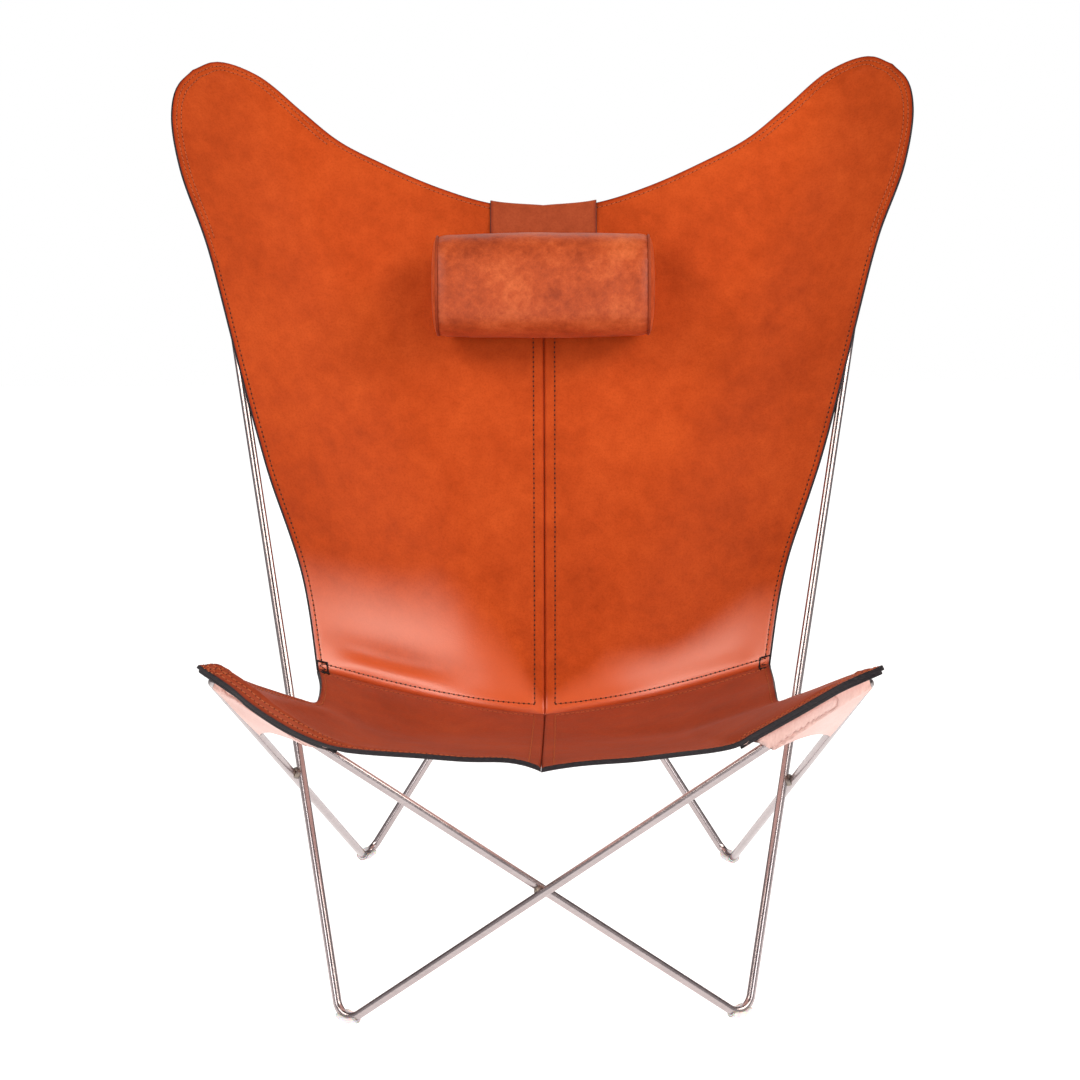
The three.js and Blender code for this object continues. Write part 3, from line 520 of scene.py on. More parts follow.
class Grid:
    """Points of a panel in columns from the middle and rows from the waist, close together at the edges."""

    def __init__(self, surface, cell):
        self.surface = surface
        half = np.array([0.5])
        columns = int(self.width(half)[0] / cell)
        rows = int(self.length(half)[0] / cell)

        def lines(span, count):
            first, last = SEAM_LINES / span, 1 - EDGE_LINES / span
            return np.concatenate([first[:-1], np.linspace(first[-1], last[0], count + 1), last[1:]])

        rough = lines(self.width(half)[0], columns)
        v = np.stack([lines(s, rows) for s in self.length(rough)])
        self.shape = v.shape
        self.u = np.empty(v.shape)
        for j in range(v.shape[1]):
            widths = self.width(v[:, j])
            self.u[:, j] = [lines(w, columns)[i] for i, w in enumerate(widths)]
        self.v = v
        self.points = surface.at(self.u.ravel(), v.ravel()).reshape(*v.shape, 3)
        self.normals = surface.normal(self.u.ravel(), v.ravel()).reshape(*v.shape, 3)
        self.normals[0, :, 0] = 0
        self.normals = unit(self.normals)
        self.points[0, :, 0] = surface.side * CLEARANCE / 2
        self.from_middle = walked_grid(self.points, 0)
        self.from_waist = walked_grid(self.points, 1)

    def width(self, v):
        return np.linalg.norm(self.surface.at(0 * v, v) - self.surface.at(0 * v + 1, v), axis=1)

    def length(self, u):
        return np.linalg.norm(self.surface.at(u, 0 * u) - self.surface.at(u, 0 * u + 1), axis=1)

    def outline(self):
        """The cut outline, from the waist up the outer edge and along the top to the middle."""
        return np.concatenate([self.points[-1, :-1], self.points[::-1, -1]])

    def inward(self, line):
        """Unit vectors from the outline into the panel."""
        normals = np.concatenate([self.normals[-1, :-1], self.normals[::-1, -1]])
        ahead = unit(np.gradient(line, axis=0))
        inward = unit(np.cross(normals, ahead))
        middle = self.points.reshape(-1, 3).mean(axis=0)
        return inward * np.sign(dot(inward, middle - line).mean())


def walked_grid(points, axis):
    steps = np.linalg.norm(np.diff(points, axis=axis), axis=-1)
    start = np.zeros_like(steps[:1] if axis == 0 else steps[:, :1])
    return np.concatenate([start, np.cumsum(steps, axis=axis)], axis=axis)


def near_tree(points):
    tree = KDTree(len(points))
    for i, p in enumerate(points):
        tree.insert(p, i)
    tree.balance()
    return tree


LINE_STEP = 0.0005


def distance_to(lines, points):
    """Distance of each point from the nearest of the lines."""
    dense = np.concatenate([along(line, np.arange(0, walked(line)[-1], LINE_STEP)) for line in lines])
    tree = near_tree(dense)
    return np.array([tree.find(p)[2] for p in points.reshape(-1, 3)]).reshape(points.shape[:-1])


def roll_in(distance, reach, depth):
    """How far a sewn edge rolls down into its seam."""
    t = np.clip(1 - distance / reach, 0, 1)
    return depth * (1 - np.sqrt(1 - t * t))


# Skins over rings of points.

ANY_WAY = (0.31, 0.52, 0.8)


def around(count):
    return np.linspace(0, 2 * np.pi, count, endpoint=False)


def squarish(x, power):
    """A sine or cosine drawn out towards a square."""
    return np.sign(x) * np.abs(x) ** power


def ring_quads(rings, size, closed=False):
    """Faces between rings that turn to the right along their line."""
    faces = []
    for i in range(rings if closed else rings - 1):
        a, b = i * size, (i + 1) % rings * size
        for j in range(size):
            k = (j + 1) % size
            faces.append((a + j, a + k, b + k, b + j))
    return faces


def tube_faces(rings, size):
    """Faces of a tube with flat ends."""
    ends = [tuple(reversed(range(size))), tuple((rings - 1) * size + j for j in range(size))]
    return ring_quads(rings, size) + ends


def capped(rings):
    """Points and faces of a closed skin over rings, with a fan at each end."""
    size = len(rings[0])
    points = np.concatenate([*rings, [rings[0].mean(axis=0)], [rings[-1].mean(axis=0)]])
    first, last, top = len(points) - 2, len(points) - 1, len(points) - 2 - size
    faces = ring_quads(len(rings), size)
    for j in range(size):
        k = (j + 1) % size
        faces += [(first, k, j), (last, top + j, top + k)]
    return points, faces


def tube(line, radius, sides, closed):
    """Points and faces of a round tube along a line. radius is one number or one for each point."""
    count = len(line)
    radius = np.broadcast_to(radius, (count,))
    ahead = np.roll(line, -1, axis=0) - np.roll(line, 1, axis=0) if closed else np.gradient(line, axis=0)
    t = unit(ahead)
    side = np.empty_like(t)
    side[0] = unit(np.cross(t[0], ANY_WAY))
    for i in range(1, count):
        side[i] = unit(side[i - 1] - t[i] * dot(side[i - 1], t[i]))
    if closed:
        last = unit(side[-1] - t[0] * dot(side[-1], t[0]))
        slip = math.atan2(dot(np.cross(last, side[0]), t[0]), dot(last, side[0]))
        turn = (slip * walked(line) / walked(line)[-1])[:, None]
        side = side * np.cos(turn) + np.cross(t, side) * np.sin(turn)
    angle = around(sides)[None, :, None]
    ring = np.cos(angle) * side[:, None] + np.sin(angle) * np.cross(t, side)[:, None]
    points = (line[:, None] + radius[:, None, None] * ring).reshape(-1, 3)
    return points, ring_quads(count, sides, True) if closed else tube_faces(count, sides)


# Stitches and their needle holes.

STITCH_CUTS = 7
STITCH_SIDES = 6
STITCH_FULL = 0.6
STITCH_SLANT = 0.00028
STITCH_GAP = 0.0015
THREAD_SINK = 0.0002
THREAD_ARCH = 0.0005
THREAD_TAPER = 0.4
HOLE_SIDES = 8
HOLE_LONG = 0.0015
HOLE_WIDE = 0.0012
HOLE_PROUD = 0.0002
HOLE_DEEP = 0.0003
HOLE_BEVEL = 0.85
# High on the back the thread is drawn tight and painted pale, a painted highlight where the stitches catch
# the light.
PALE_GAP = 0.0007
PALE_HOLE = 0.55
PALE_FROM = 0.78


def lens_faces():
    low, high = 2 * HOLE_SIDES, 2 * HOLE_SIDES + 1
    faces = []
    for j in range(HOLE_SIDES):
        k = (j + 1) % HOLE_SIDES
        a, b = HOLE_SIDES + j, HOLE_SIDES + k
        faces += [(j, a, b, k), (low, j, k), (b, a, high)]
    return faces


def copies(faces, step, count, base):
    """The faces of one small form, repeated with its points."""
    return [tuple(base + k * step + i for i in face) for k in range(count) for face in faces]


def holes(points, normals, size):
    """Points of needle holes, each a small flat lens painted dark as the shade in the hole."""
    t = unit(np.gradient(points, axis=0))
    n = unit(normals)
    s = np.cross(t, n)
    turn = around(HOLE_SIDES)[None, :, None]
    middle, t, n, s = (vectors[:, None] for vectors in (points, t, n, s))
    rim = (HOLE_LONG * np.cos(turn) * t + HOLE_WIDE * np.sin(turn) * s) * size[:, None, None]
    rings = [middle + rim + n * HOLE_PROUD / 2, middle + rim * HOLE_BEVEL + n * HOLE_PROUD]
    return np.concatenate([*rings, middle - n * HOLE_DEEP, middle + n * HOLE_PROUD], axis=1).reshape(-1, 3)


def stitches(name, rows, pale_from, body="chair"):
    """Rows of stitches: threads that dip into needle holes. A row is its points and normals. Above a height
    the thread is drawn tight and painted pale as a highlight."""
    verts, faces, index = [], [], []
    total = 0
    turn = around(STITCH_SIDES)[None, None, :, None]
    share = np.linspace(0, 1, STITCH_CUTS)
    arch = np.sin(np.pi * share) ** STITCH_FULL
    rise = (THREAD_ARCH * arch - THREAD_SINK)[None, :, None]
    radius = (THREAD_R * (1 - THREAD_TAPER * (1 - arch)))[None, :, None, None]
    stitch, lens = tube_faces(STITCH_CUTS, STITCH_SIDES), lens_faces()
    for points, normals in rows:
        a, b, n = points[:-1], points[1:], unit(normals[:-1] + normals[1:])
        pale = points[:, 2] > pale_from
        t = unit(b - a)
        s = np.cross(t, n)
        drawn = s * STITCH_SLANT + t * np.where(pale[:-1], PALE_GAP, STITCH_GAP)[:, None]
        a, b = a + drawn, b - drawn
        middles = a[:, None] + (b - a)[:, None] * share[None, :, None] + n[:, None] * rise
        ring = np.cos(turn) * n[:, None, None] + np.sin(turn) * s[:, None, None]
        threads = (middles[:, :, None] + radius * ring).reshape(-1, 3)
        pricked = holes(points, normals, np.where(pale, PALE_HOLE, 1.0))
        faces += copies(stitch, STITCH_CUTS * STITCH_SIDES, len(a), total)
        index += np.repeat(np.where(pale[:-1], 2, 0), len(stitch)).tolist()
        total += len(threads)
        faces += copies(lens, 2 * HOLE_SIDES + 2, len(points), total)
        index += [1] * (len(points) * len(lens))
        total += len(pricked)
        verts += [threads, pricked]
    needle = link(name, np.concatenate(verts), faces, [THREAD, HOLE_SHADE, LIT_THREAD], index, body)
    return needle


def sewn_row(line, tree):
    """Evenly pitched needle points along a line, laid on a surface."""
    length = walked(line)[-1]
    count = max(int(length / PITCH), 2)
    spots = along(line, np.linspace(0, length, count + 1))
    found = [tree.find_nearest(Vector(spot))[:2] for spot in spots]
    return np.array([point for point, _ in found]), np.array([normal for _, normal in found])


def surface_tree(points, faces):
    return BVHTree.FromPolygons([Vector(p) for p in points], faces)


# Materials.

def add_node(tree, kind, inputs, **settings):
    """A node whose inputs are linked where a socket is given, and set otherwise."""
    made = tree.nodes.new(kind)
    for key, value in settings.items():
        setattr(made, key, value)
    for key, value in inputs.items():
        if isinstance(value, bpy.types.NodeSocket):
            tree.links.new(value, made.inputs[key])
        else:
            made.inputs[key].default_value = value
    return made


class Look:
    """A node material built from a few helpers."""

    def __init__(self, name, **sockets):
        self.material = bpy.data.materials.new(name)
        self.material.use_nodes = True
        self.tree = self.material.node_tree
        self.shader = self.tree.nodes["Principled BSDF"]
        for key, value in sockets.items():
            self.shader.inputs[key.replace("_", " ")].default_value = value
        self.place = self.node("ShaderNodeTexCoord").outputs["Object"]

    def node(self, kind, inputs=None, **settings):
        return add_node(self.tree, kind, inputs or {}, **settings)

    def set(self, socket, value):
        self.tree.links.new(value, self.shader.inputs[socket])

    def dressed(self, colour, rough, normal):
        """The material with its colour, roughness and relief."""
        self.set("Base Color", colour)
        self.set("Roughness", rough)
        self.set("Normal", normal)
        return self.material

    def stretched(self, scale, slant=0.0):
        inputs = {"Vector": self.place, "Rotation": (0, slant, 0)}
        turned = self.node("ShaderNodeMapping", inputs).outputs["Vector"]
        return self.node("ShaderNodeMapping", {"Vector": turned, "Scale": scale}).outputs["Vector"]

    def noise(self, scale, detail=4.0, rough=0.55, vector=None):
        inputs = {"Vector": vector or self.place, "Scale": scale, "Detail": detail, "Roughness": rough}
        return self.node("ShaderNodeTexNoise", inputs).outputs["Fac"]

    def cells(self, scale):
        inputs = {"Vector": self.place, "Scale": scale}
        return self.node("ShaderNodeTexVoronoi", inputs).outputs["Distance"]

    def ramp(self, value, *stops):
        made = self.node("ShaderNodeValToRGB", {"Fac": value})
        elements = made.color_ramp.elements
        while len(elements) < len(stops):
            elements.new(0.5)
        for element, (position, colour) in zip(elements, stops):
            element.position = position
            element.color = (*colour, 1)
        return made.outputs["Color"]

    def spread(self, value, low, high, start=0.0, end=1.0):
        inputs = {"Value": value, "From Min": start, "From Max": end, "To Min": low, "To Max": high}
        return self.node("ShaderNodeMapRange", inputs).outputs["Result"]

    def mix(self, factor, a, b, how="MIX"):
        a, b = ((*colour, 1) if isinstance(colour, tuple) else colour for colour in (a, b))
        inputs = {0: factor, 6: a, 7: b}
        return self.node("ShaderNodeMix", inputs, data_type="RGBA", blend_type=how).outputs[2]

    def math(self, how, a, b):
        return self.node("ShaderNodeMath", {0: a, 1: b}, operation=how).outputs[0]

    def times(self, a, b):
        return self.math("MULTIPLY", a, b)

    def weighed(self, a, share, b):
        return self.math("ADD", self.times(a, share), self.times(b, 1 - share))

    def value(self, name):
        return self.node("ShaderNodeAttribute", attribute_name=name).outputs["Fac"]

    def relief(self, height, strength, distance, below=None):
        inputs = {"Height": height, "Strength": strength, "Distance": distance}
        if below:
            inputs["Normal"] = below
        return self.node("ShaderNodeBump", inputs).outputs["Normal"]


# Leather: how many clouds, patches, specks, pores and creases there are to a metre.
CLOUDS = 7
PATCHES = 46
SPECKS = 420
PORES = 820
CREASES = 240
SCUFFS = (70, 70, 800)
# What use does: the wax it polishes up and the dark it leaves at edges. Painted light beside it: a painted
# highlight that makes the polished colour lighter, and painted shade in the seams.
POLISH_COAT = 0.82
HIGHLIGHT_LIGHTER = 1.16
HIGHLIGHT_SHARE = 0.9
WEAR_AND_SHADE_DARK = 0.62


def leather(name, dark, mid, light, rough=(0.44, 0.58), grain=0.35, mottle=1.0, gloss=0.06, sheen=0.0,
            cloudy=0.55, contrast=0.19, scratched=0.12, slant=0.0):
    """Grain side of vegetable-tanned leather: clouded colour, fine pores, faint scuffs and wear at its
    edges, with painted shade in the seams. Where it is polished by use, it has a waxy gloss, and its colour
    is painted lighter there as a highlight."""
    look = Look(name, Coat_Roughness=0.36, Coat_IOR=1.8, Specular_IOR_Level=gloss, Sheen_Weight=sheen,
                Sheen_Roughness=0.45)
    polish_and_highlight = look.value("polish_and_highlight")
    look.set("Coat Weight", look.spread(polish_and_highlight, 0.0, POLISH_COAT))
    clouds = look.noise(CLOUDS * mottle, 5.0, 0.6)
    patches = look.noise(PATCHES * mottle, 6.0, 0.62)
    specks = look.noise(SPECKS, 3.0, 0.6)
    tone = look.weighed(clouds, cloudy, patches)
    colour = look.ramp(tone, (0.5 - contrast, dark), (0.5, mid), (0.5 + contrast, light))
    colour = look.mix(look.spread(specks, 0.0, 0.22, 0.45, 0.75), colour, dark, "MULTIPLY")
    scuffs = look.noise(1.0, 2.0, 0.5, look.stretched(SCUFFS, slant))
    colour = look.mix(look.spread(scuffs, 0.0, scratched, 0.62, 0.8), colour, light)
    # Painted highlight: the colour is made lighter where the back is polished.
    rubbed_and_lit = tuple(min(HIGHLIGHT_LIGHTER * part, 1.0) for part in light)
    colour = look.mix(look.times(polish_and_highlight, HIGHLIGHT_SHARE), colour, rubbed_and_lit)
    # Darker at worn edges and along stitch rows, and painted shade in the seams and at the roll's end seams.
    colour = look.mix(look.times(look.value("wear_and_shade"), WEAR_AND_SHADE_DARK), colour, dark, "MULTIPLY")
    satin = look.spread(look.weighed(patches, 0.7, specks), *rough, 0.3, 0.7)
    pores = look.relief(look.cells(PORES), grain, 0.0003)
    creases = look.relief(look.noise(CREASES, 5.0, 0.65), grain, 0.0004, pores)
    return look.dressed(colour, satin, look.relief(patches, 0.25, 0.0012, creases))


def flesh(name, dark, mid, light):
    """Flesh side: pale, matt and fibrous."""
    look = Look(name, Sheen_Weight=0.25, Sheen_Roughness=0.6, Specular_IOR_Level=0.3)
    clouds = look.noise(11, 5.0, 0.6)
    fibres = look.noise(1.0, 4.0, 0.7, look.stretched((520, 520, 140)))
    colour = look.ramp(look.weighed(clouds, 0.6, fibres), (0.35, dark), (0.5, mid), (0.66, light))
    colour = look.mix(look.times(look.value("wear_and_shade"), 0.6), colour, dark, "MULTIPLY")
    relief = look.relief(fibres, 0.5, 0.0005, look.relief(clouds, 0.2, 0.002))
    return look.dressed(colour, look.spread(fibres, 0.68, 0.9, 0.3, 0.7), relief)


def edge_paint():
    look = Look("edge_paint", Specular_IOR_Level=0.22)
    layers = look.noise(1.0, 3.0, 0.6, look.stretched((260, 260, 900)))
    colour = look.ramp(layers, (0.3, (0.009, 0.007, 0.009)), (0.62, (0.024, 0.018, 0.021)),
                       (0.8, (0.05, 0.037, 0.038)))
    return look.dressed(colour, look.spread(layers, 0.3, 0.55, 0.3, 0.7), look.relief(layers, 0.4, 0.0002))


def thread(name, dark, light):
    look = Look(name, Specular_IOR_Level=0.2)
    twist = look.noise(1900, 2.0, 0.5)
    colour = look.ramp(twist, (0.3, dark), (0.7, light))
    return look.dressed(colour, look.spread(twist, 0.5, 0.75), look.relief(twist, 0.5, 0.0002))


def steel():
    """Satin stainless rod: fine rings from linishing and faint cloudy tone."""
    look = Look("satin_steel", Metallic=1.0)
    rings = look.noise(1.0, 2.0, 0.5, look.stretched((90, 90, 420)))
    tone = look.weighed(rings, 0.5, look.noise(24, 3.0, 0.5))
    colour = look.ramp(tone, (0.3, (0.38, 0.328, 0.328)), (0.7, (0.48, 0.42, 0.42)))
    return look.dressed(colour, look.spread(tone, 0.17, 0.27, 0.3, 0.7), look.relief(rings, 0.05, 0.0001))


def weld_metal():
    look = Look("weld_metal", Metallic=1.0)
    ripple = look.noise(420, 4.0, 0.6)
    colour = look.ramp(look.noise(90, 2.0, 0.5), (0.35, (0.16, 0.13, 0.115)), (0.5, (0.27, 0.235, 0.215)),
                       (0.7, (0.33, 0.27, 0.21)))
    return look.dressed(colour, look.spread(ripple, 0.32, 0.6), look.relief(ripple, 0.5, 0.0006))


def milky_plastic():
    look = Look("milky_plastic", Subsurface_Weight=0.35, Subsurface_Scale=0.004, Specular_IOR_Level=0.45)
    scuffs = look.noise(900, 3.0, 0.6)
    colour = look.ramp(look.noise(120, 3.0, 0.5), (0.3, (0.76, 0.745, 0.75)), (0.7, (0.86, 0.85, 0.855)))
    return look.dressed(colour, look.spread(scuffs, 0.3, 0.5), look.relief(scuffs, 0.15, 0.0002))


SADDLE = leather("saddle_leather", (0.43, 0.054, 0.0085), (0.57, 0.078, 0.0128), (0.68, 0.104, 0.018))
# The seat's leather is darker than the back's: partly its own darker finish, partly painted shade for the
# dimmer light that falls on the seat.
SEAT_LOOK = leather("seat_leather", (0.27, 0.036, 0.0085), (0.36, 0.049, 0.0112), (0.45, 0.070, 0.0165),
                    gloss=0.22, sheen=0.05)
ROLL = leather("roll_leather", (0.31, 0.042, 0.009), (0.53, 0.086, 0.020), (0.72, 0.155, 0.043),
               rough=(0.36, 0.52), grain=0.5, mottle=2.2, gloss=0.32, sheen=0.04, cloudy=0.6, contrast=0.17,
               scratched=0.34, slant=0.75)
STRAP = leather("strap_leather", (0.34, 0.055, 0.016), (0.45, 0.080, 0.024), (0.54, 0.115, 0.038),
                rough=(0.46, 0.6), mottle=1.8, gloss=0.15, sheen=0.06)
# The flesh side is pale, and its colour is painted paler and pinker still as a painted reflection of glare
# on the pocket undersides.
FLESH_AND_GLARE = flesh("leather_underside", (0.72, 0.42, 0.36), (0.83, 0.53, 0.47), (0.90, 0.63, 0.58))
PAINT = edge_paint()
THREAD = thread("tan_thread", (0.30, 0.050, 0.013), (0.48, 0.095, 0.026))
# Painted highlight: the thread high on the back is paler, as where stitches catch the light.
LIT_THREAD = thread("pale_thread_highlight", (0.44, 0.095, 0.032), (0.60, 0.170, 0.068))
# Painted shade: the needle holes are near black, standing for the shade inside them.
HOLE_SHADE = thread("needle_hole_shade", (0.040, 0.012, 0.006), (0.075, 0.022, 0.011))
BLACK = thread("black_thread", (0.006, 0.005, 0.006), (0.018, 0.015, 0.017))
STEEL = steel()
WELD = weld_metal()
PLASTIC = milky_plastic()


# Panels of the sling.

CELL = 0.006
# The hide is slightly uneven, away from the bend and the middle seam.
UNEVEN = 0.0014
WAVES = (7.0, 17.0)
WAVE_SHARE = 0.45
LOOSE_PAST_BEND = (0.10, 0.24)
LOOSE_PAST_SEAM = (0.0, 0.06)
# The back is dished, and bulges and ripples just above the waist.
DISH_LOW = 0.19
DISH_HIGH = 0.24
DISH_DEPTH = 0.004
DISH_PAST_SEAM = (0.02, 0.11)
WAIST_RIPPLE = {-1: 0.0024, 1: 0.0005}
RIPPLE_CREST = (0.020, 0.010)
RIPPLE_TROUGH = (0.040, 0.012)
TROUGH_SHARE = 0.8
RIPPLE_STARTS = (0.30, 0.60)
RIPPLE_STOPS = (0.80, 0.97)
WAIST_BAND = 0.0017
BAND_CREST = (0.009, 0.013)
BAND_RISE = (0.0, 0.006)
BAND_STARTS = (0.002, 0.02)
BAND_STOPS = (0.9, 1.0)
# The front edge dips at the middle: depth and reach, and on the left the swelling beside it.
FRONT_DIP = {-1: (0.0032, 0.010, 0.0034), 1: (0.0026, 0.024, 0.0)}
FRONT_SWELL = (0.030, 0.030)
FRONT_DIP_BACK = 0.07
# The rod shows under the leather round the bend, and edges roll into the seams.
ROD_SHOWS = 0.0013
ROD_SHOWS_WIDE = 0.0045
ROD_SHOWS_LONG = 0.060
SEAM_ROLL = (0.0036, 0.0030)
WAIST_ROLL = {"back": (0.0065, 0.0030), "seat": (0.0040, 0.0030)}
EDGE_SWELL = {"back": 0.0, "seat": 0.0008}
EDGE_SWELL_WIDE = 0.004
ROW_DIP = 0.0003
ROW_DIP_WIDE = 0.0013
ROW_SLACK = 0.0004
ROW_STARTS = 0.012
ROW_STOPS = 0.008
# Dark wear at cut edges, darker along the stitches, and painted shade in the seams, deeper where the edges
# roll in.
EDGE_WEAR = 0.0022
ROW_DARK = (0.14, 0.0012)
SEAM_SHADE = (0.003, 0.7)
# Where the back is rubbed glossy and its colour is painted lighter as a highlight: distances from the
# middle, and how far up from the waist there. It fades out about that height, and a dull patch with no
# painted highlight is left on the left, where the waist ripple dips into shade.
RUBBED_AND_LIT_TO = {-1: (mm(0, 20, 46, 70, 93, 137, 184, 260), mm(15, 42, 76, 98, 116, 126, 116, 112)),
             1: (mm(0, 27, 50, 73, 96, 142, 165, 200, 260), mm(20, 34, 42, 56, 54, 48, 50, 60, 80))}
RUBBED_AND_LIT_FADE = (0.35, 1.45)
DULL_UNLIT = {-1: 0.72, 1: 0.0}
DULL_UNLIT_UP = (0.046, 0.021)
DULL_UNLIT_ACROSS = (0.64, 0.30)


def undulation(points):
    """Slow unevenness of a worked hide."""
    spots = [Vector(p) for p in points.reshape(-1, 3)]
    wave = [noise.noise(p * WAVES[0]) + WAVE_SHARE * noise.noise(p * WAVES[1]) for p in spots]
    return UNEVEN * np.array(wave).reshape(points.shape[:-1])


def hide_wave(grid, part, side, apex):
    """How far the hide stands off its fitted surface."""
    up, out = grid.from_waist, grid.from_middle
    loose = smoothstep(apex, *LOOSE_PAST_BEND) * smoothstep(out, *LOOSE_PAST_SEAM)
    wave = undulation(grid.points) * loose
    if part == "seat":
        depth, reach, swell = FRONT_DIP[side]
        dip = swell * bump(out, *FRONT_SWELL) - depth * np.exp(-out / reach)
        return wave + dip * (1 - smoothstep(up[:, -1:] - up, 0.0, FRONT_DIP_BACK))
    rise, fall = np.clip(up / DISH_LOW, 0, 1), np.clip((up - DISH_LOW) / DISH_HIGH, 0, 1)
    dish = (0.5 - 0.5 * np.cos(np.pi * rise)) * (0.5 + 0.5 * np.cos(np.pi * fall))
    ripple = bump(up, *RIPPLE_CREST) - TROUGH_SHARE * bump(up, *RIPPLE_TROUGH)
    ripple = ripple * smoothstep(grid.u, *RIPPLE_STARTS) * (1 - smoothstep(grid.u, *RIPPLE_STOPS))
    band = bump(up, *BAND_CREST) * smoothstep(up, *BAND_RISE)
    band = band * smoothstep(out, *BAND_STARTS) * (1 - smoothstep(grid.u, *BAND_STOPS))
    wave = wave - DISH_DEPTH * dish * smoothstep(out, *DISH_PAST_SEAM)
    return wave + WAIST_RIPPLE[side] * ripple + WAIST_BAND * band


def glossy_and_lit(grid, side):
    """How far each point of the back is polished by use, and so how far its colour is painted lighter as a
    highlight.
    """
    limit = np.interp(grid.from_middle, *RUBBED_AND_LIT_TO[side])
    low, high = RUBBED_AND_LIT_FADE
    rubbed_and_lit = 1 - smoothstep(grid.from_waist, low * limit, high * limit)
    return rubbed_and_lit * (1 - DULL_UNLIT[side] * bump(grid.from_waist, *DULL_UNLIT_UP) * bump(grid.u, *DULL_UNLIT_ACROSS))


def pocket_band(grid, shares, distance):
    """The stretch of the outline that a pocket is sewn to, set in from the edge."""
    line = grid.outline()
    u = np.concatenate([grid.u[-1, :-1], grid.u[::-1, -1]])
    v = np.concatenate([grid.v[-1, :-1], grid.v[::-1, -1]])
    sewn = (v >= 1 - shares[1]) & (u >= 1 - shares[0])
    return (line + grid.inward(line) * distance)[sewn]


def needle_lines(grid, shares, middle, edge):
    """Lines of a panel's stitching: along its cut outline, round its pocket and along its two seams."""
    outline = grid.outline()
    steps = np.arange(ROW_STARTS, walked(outline)[-1] - ROW_STOPS, 0.002)
    lines = [along(outline + grid.inward(outline) * EDGE_ROW, steps), pocket_band(grid, shares, POCKET_ROW)]
    i = np.argmin(np.abs(grid.from_middle[:, 0] - SEAM_ROW))
    j = np.argmin(np.abs(grid.from_waist[0] - WAIST_ROW))
    inside = edge > EDGE_ROW
    lines.append(middle[i][inside[i] & (grid.from_waist[i] >= WAIST_ROW - ROW_SLACK)])
    lines.append(middle[:, j][inside[:, j] & (grid.from_middle[:, j] >= SEAM_ROW - ROW_SLACK)])
    return lines


def stand_in(obj, slot, *nodes):
    """The piece stands for CAD nodes, which it hides. obj and slot are not used."""
    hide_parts(*nodes)


def panel(label, part, surface, shares, look):
    """A panel of the sling with its stitching."""
    name = f"{part}_panel_{label}"
    grid = Grid(surface, CELL)
    hold = surface.hold
    edge = distance_to([grid.outline()], grid.points)
    outside = hold.outside(grid.points.reshape(-1, 3)).reshape(grid.shape)
    apex = np.linalg.norm(grid.points - hold.bend.apex, axis=-1)
    middle = grid.points + grid.normals * hide_wave(grid, part, surface.side, apex)[..., None]
    lines = needle_lines(grid, shares, middle, edge)
    sunk = distance_to(lines, middle)

    rolled = np.maximum(roll_in(grid.from_middle, *SEAM_ROLL), roll_in(grid.from_waist, *WAIST_ROLL[part]))
    ridge = ROD_SHOWS * bump(outside, 0, ROD_SHOWS_WIDE) * bump(apex, 0, ROD_SHOWS_LONG)
    half = LEATHER / 2 + EDGE_SWELL[part] * bump(edge, 0, EDGE_SWELL_WIDE)
    proud = half - rolled - ROW_DIP * bump(sunk, 0, ROW_DIP_WIDE) + ridge
    front = middle + grid.normals * proud[..., None]
    back = middle - grid.normals * half[..., None]
    cut = np.zeros(grid.shape, bool)
    cut[-1, 1:] = True
    cut[1:, -1] = True
    points, faces, index = sheet_faces(front, back, cut.ravel()[outline_of(*grid.shape)])
    obj = link(name + "_leather", points, faces, [look, FLESH_AND_GLARE, PAINT], index)
    # Edge wear and darker stitch rows, with painted shade where the edges roll into the seams.
    share, wide = ROW_DARK
    deep, power = SEAM_SHADE
    darkened = np.maximum(bump(edge, 0, EDGE_WEAR), share * bump(sunk, 0, wide))
    set_value(obj, "wear_and_shade", np.maximum(darkened, np.clip(rolled / deep, 0, 1) ** power))
    # The back's polish, which also carries its painted highlight.
    if part == "back":
        set_value(obj, "polish_and_highlight", glossy_and_lit(grid, surface.side))
    stand_in(obj, "saddle_leather" if part == "back" else "seat_leather", name)

    face_points = front.reshape(-1, 3)
    tree = surface_tree(face_points, [face for face in faces if max(face) < len(face_points)])
    needle = stitches(f"stitching_{part}_{label}", [sewn_row(line, tree) for line in lines],
                      PALE_FROM if part == "back" else 0.0)
    return grid


GRIDS = {}
for label, side in SIDES.items():
    GRIDS["back", side] = panel(label, "back", BACKS[side], PEAK_POCKET, SADDLE)
    GRIDS["seat", side] = panel(label, "seat", SEATS[side], WING_POCKET, SEAT_LOOK)


def sheet_piece(name, middle, normals, thick, materials, painted, body="chair"):
    """A sheet of one thickness about its middle, with its whole rim painted or none of it."""
    rim = np.full(len(outline_of(*middle.shape[:2])), painted)
    half = normals * thick / 2
    points, faces, index = sheet_faces(middle + half, middle - half, rim)
    return link(name, points, faces, materials, index, body), points


# Pockets: a second layer that lies on the panel at the sewn edges and passes behind the rod.

POCKET_CUTS = 56
POCKET_TIP = 0.97
POCKET_CROWD = 0.8
POCKET_MOUTH = {"back": 1.0, "seat": 1.7}
POCKET_INSET = {"back": 0.009, "seat": 0.0}
POCKET_CLOSES = {"back": (0.003, 0.0125), "seat": (0.0045, 0.0100)}
# The corner of the mouth at the cut edge lies on the panel: where it starts to, and where it does.
POCKET_CORNER = (0.82, 0.92)


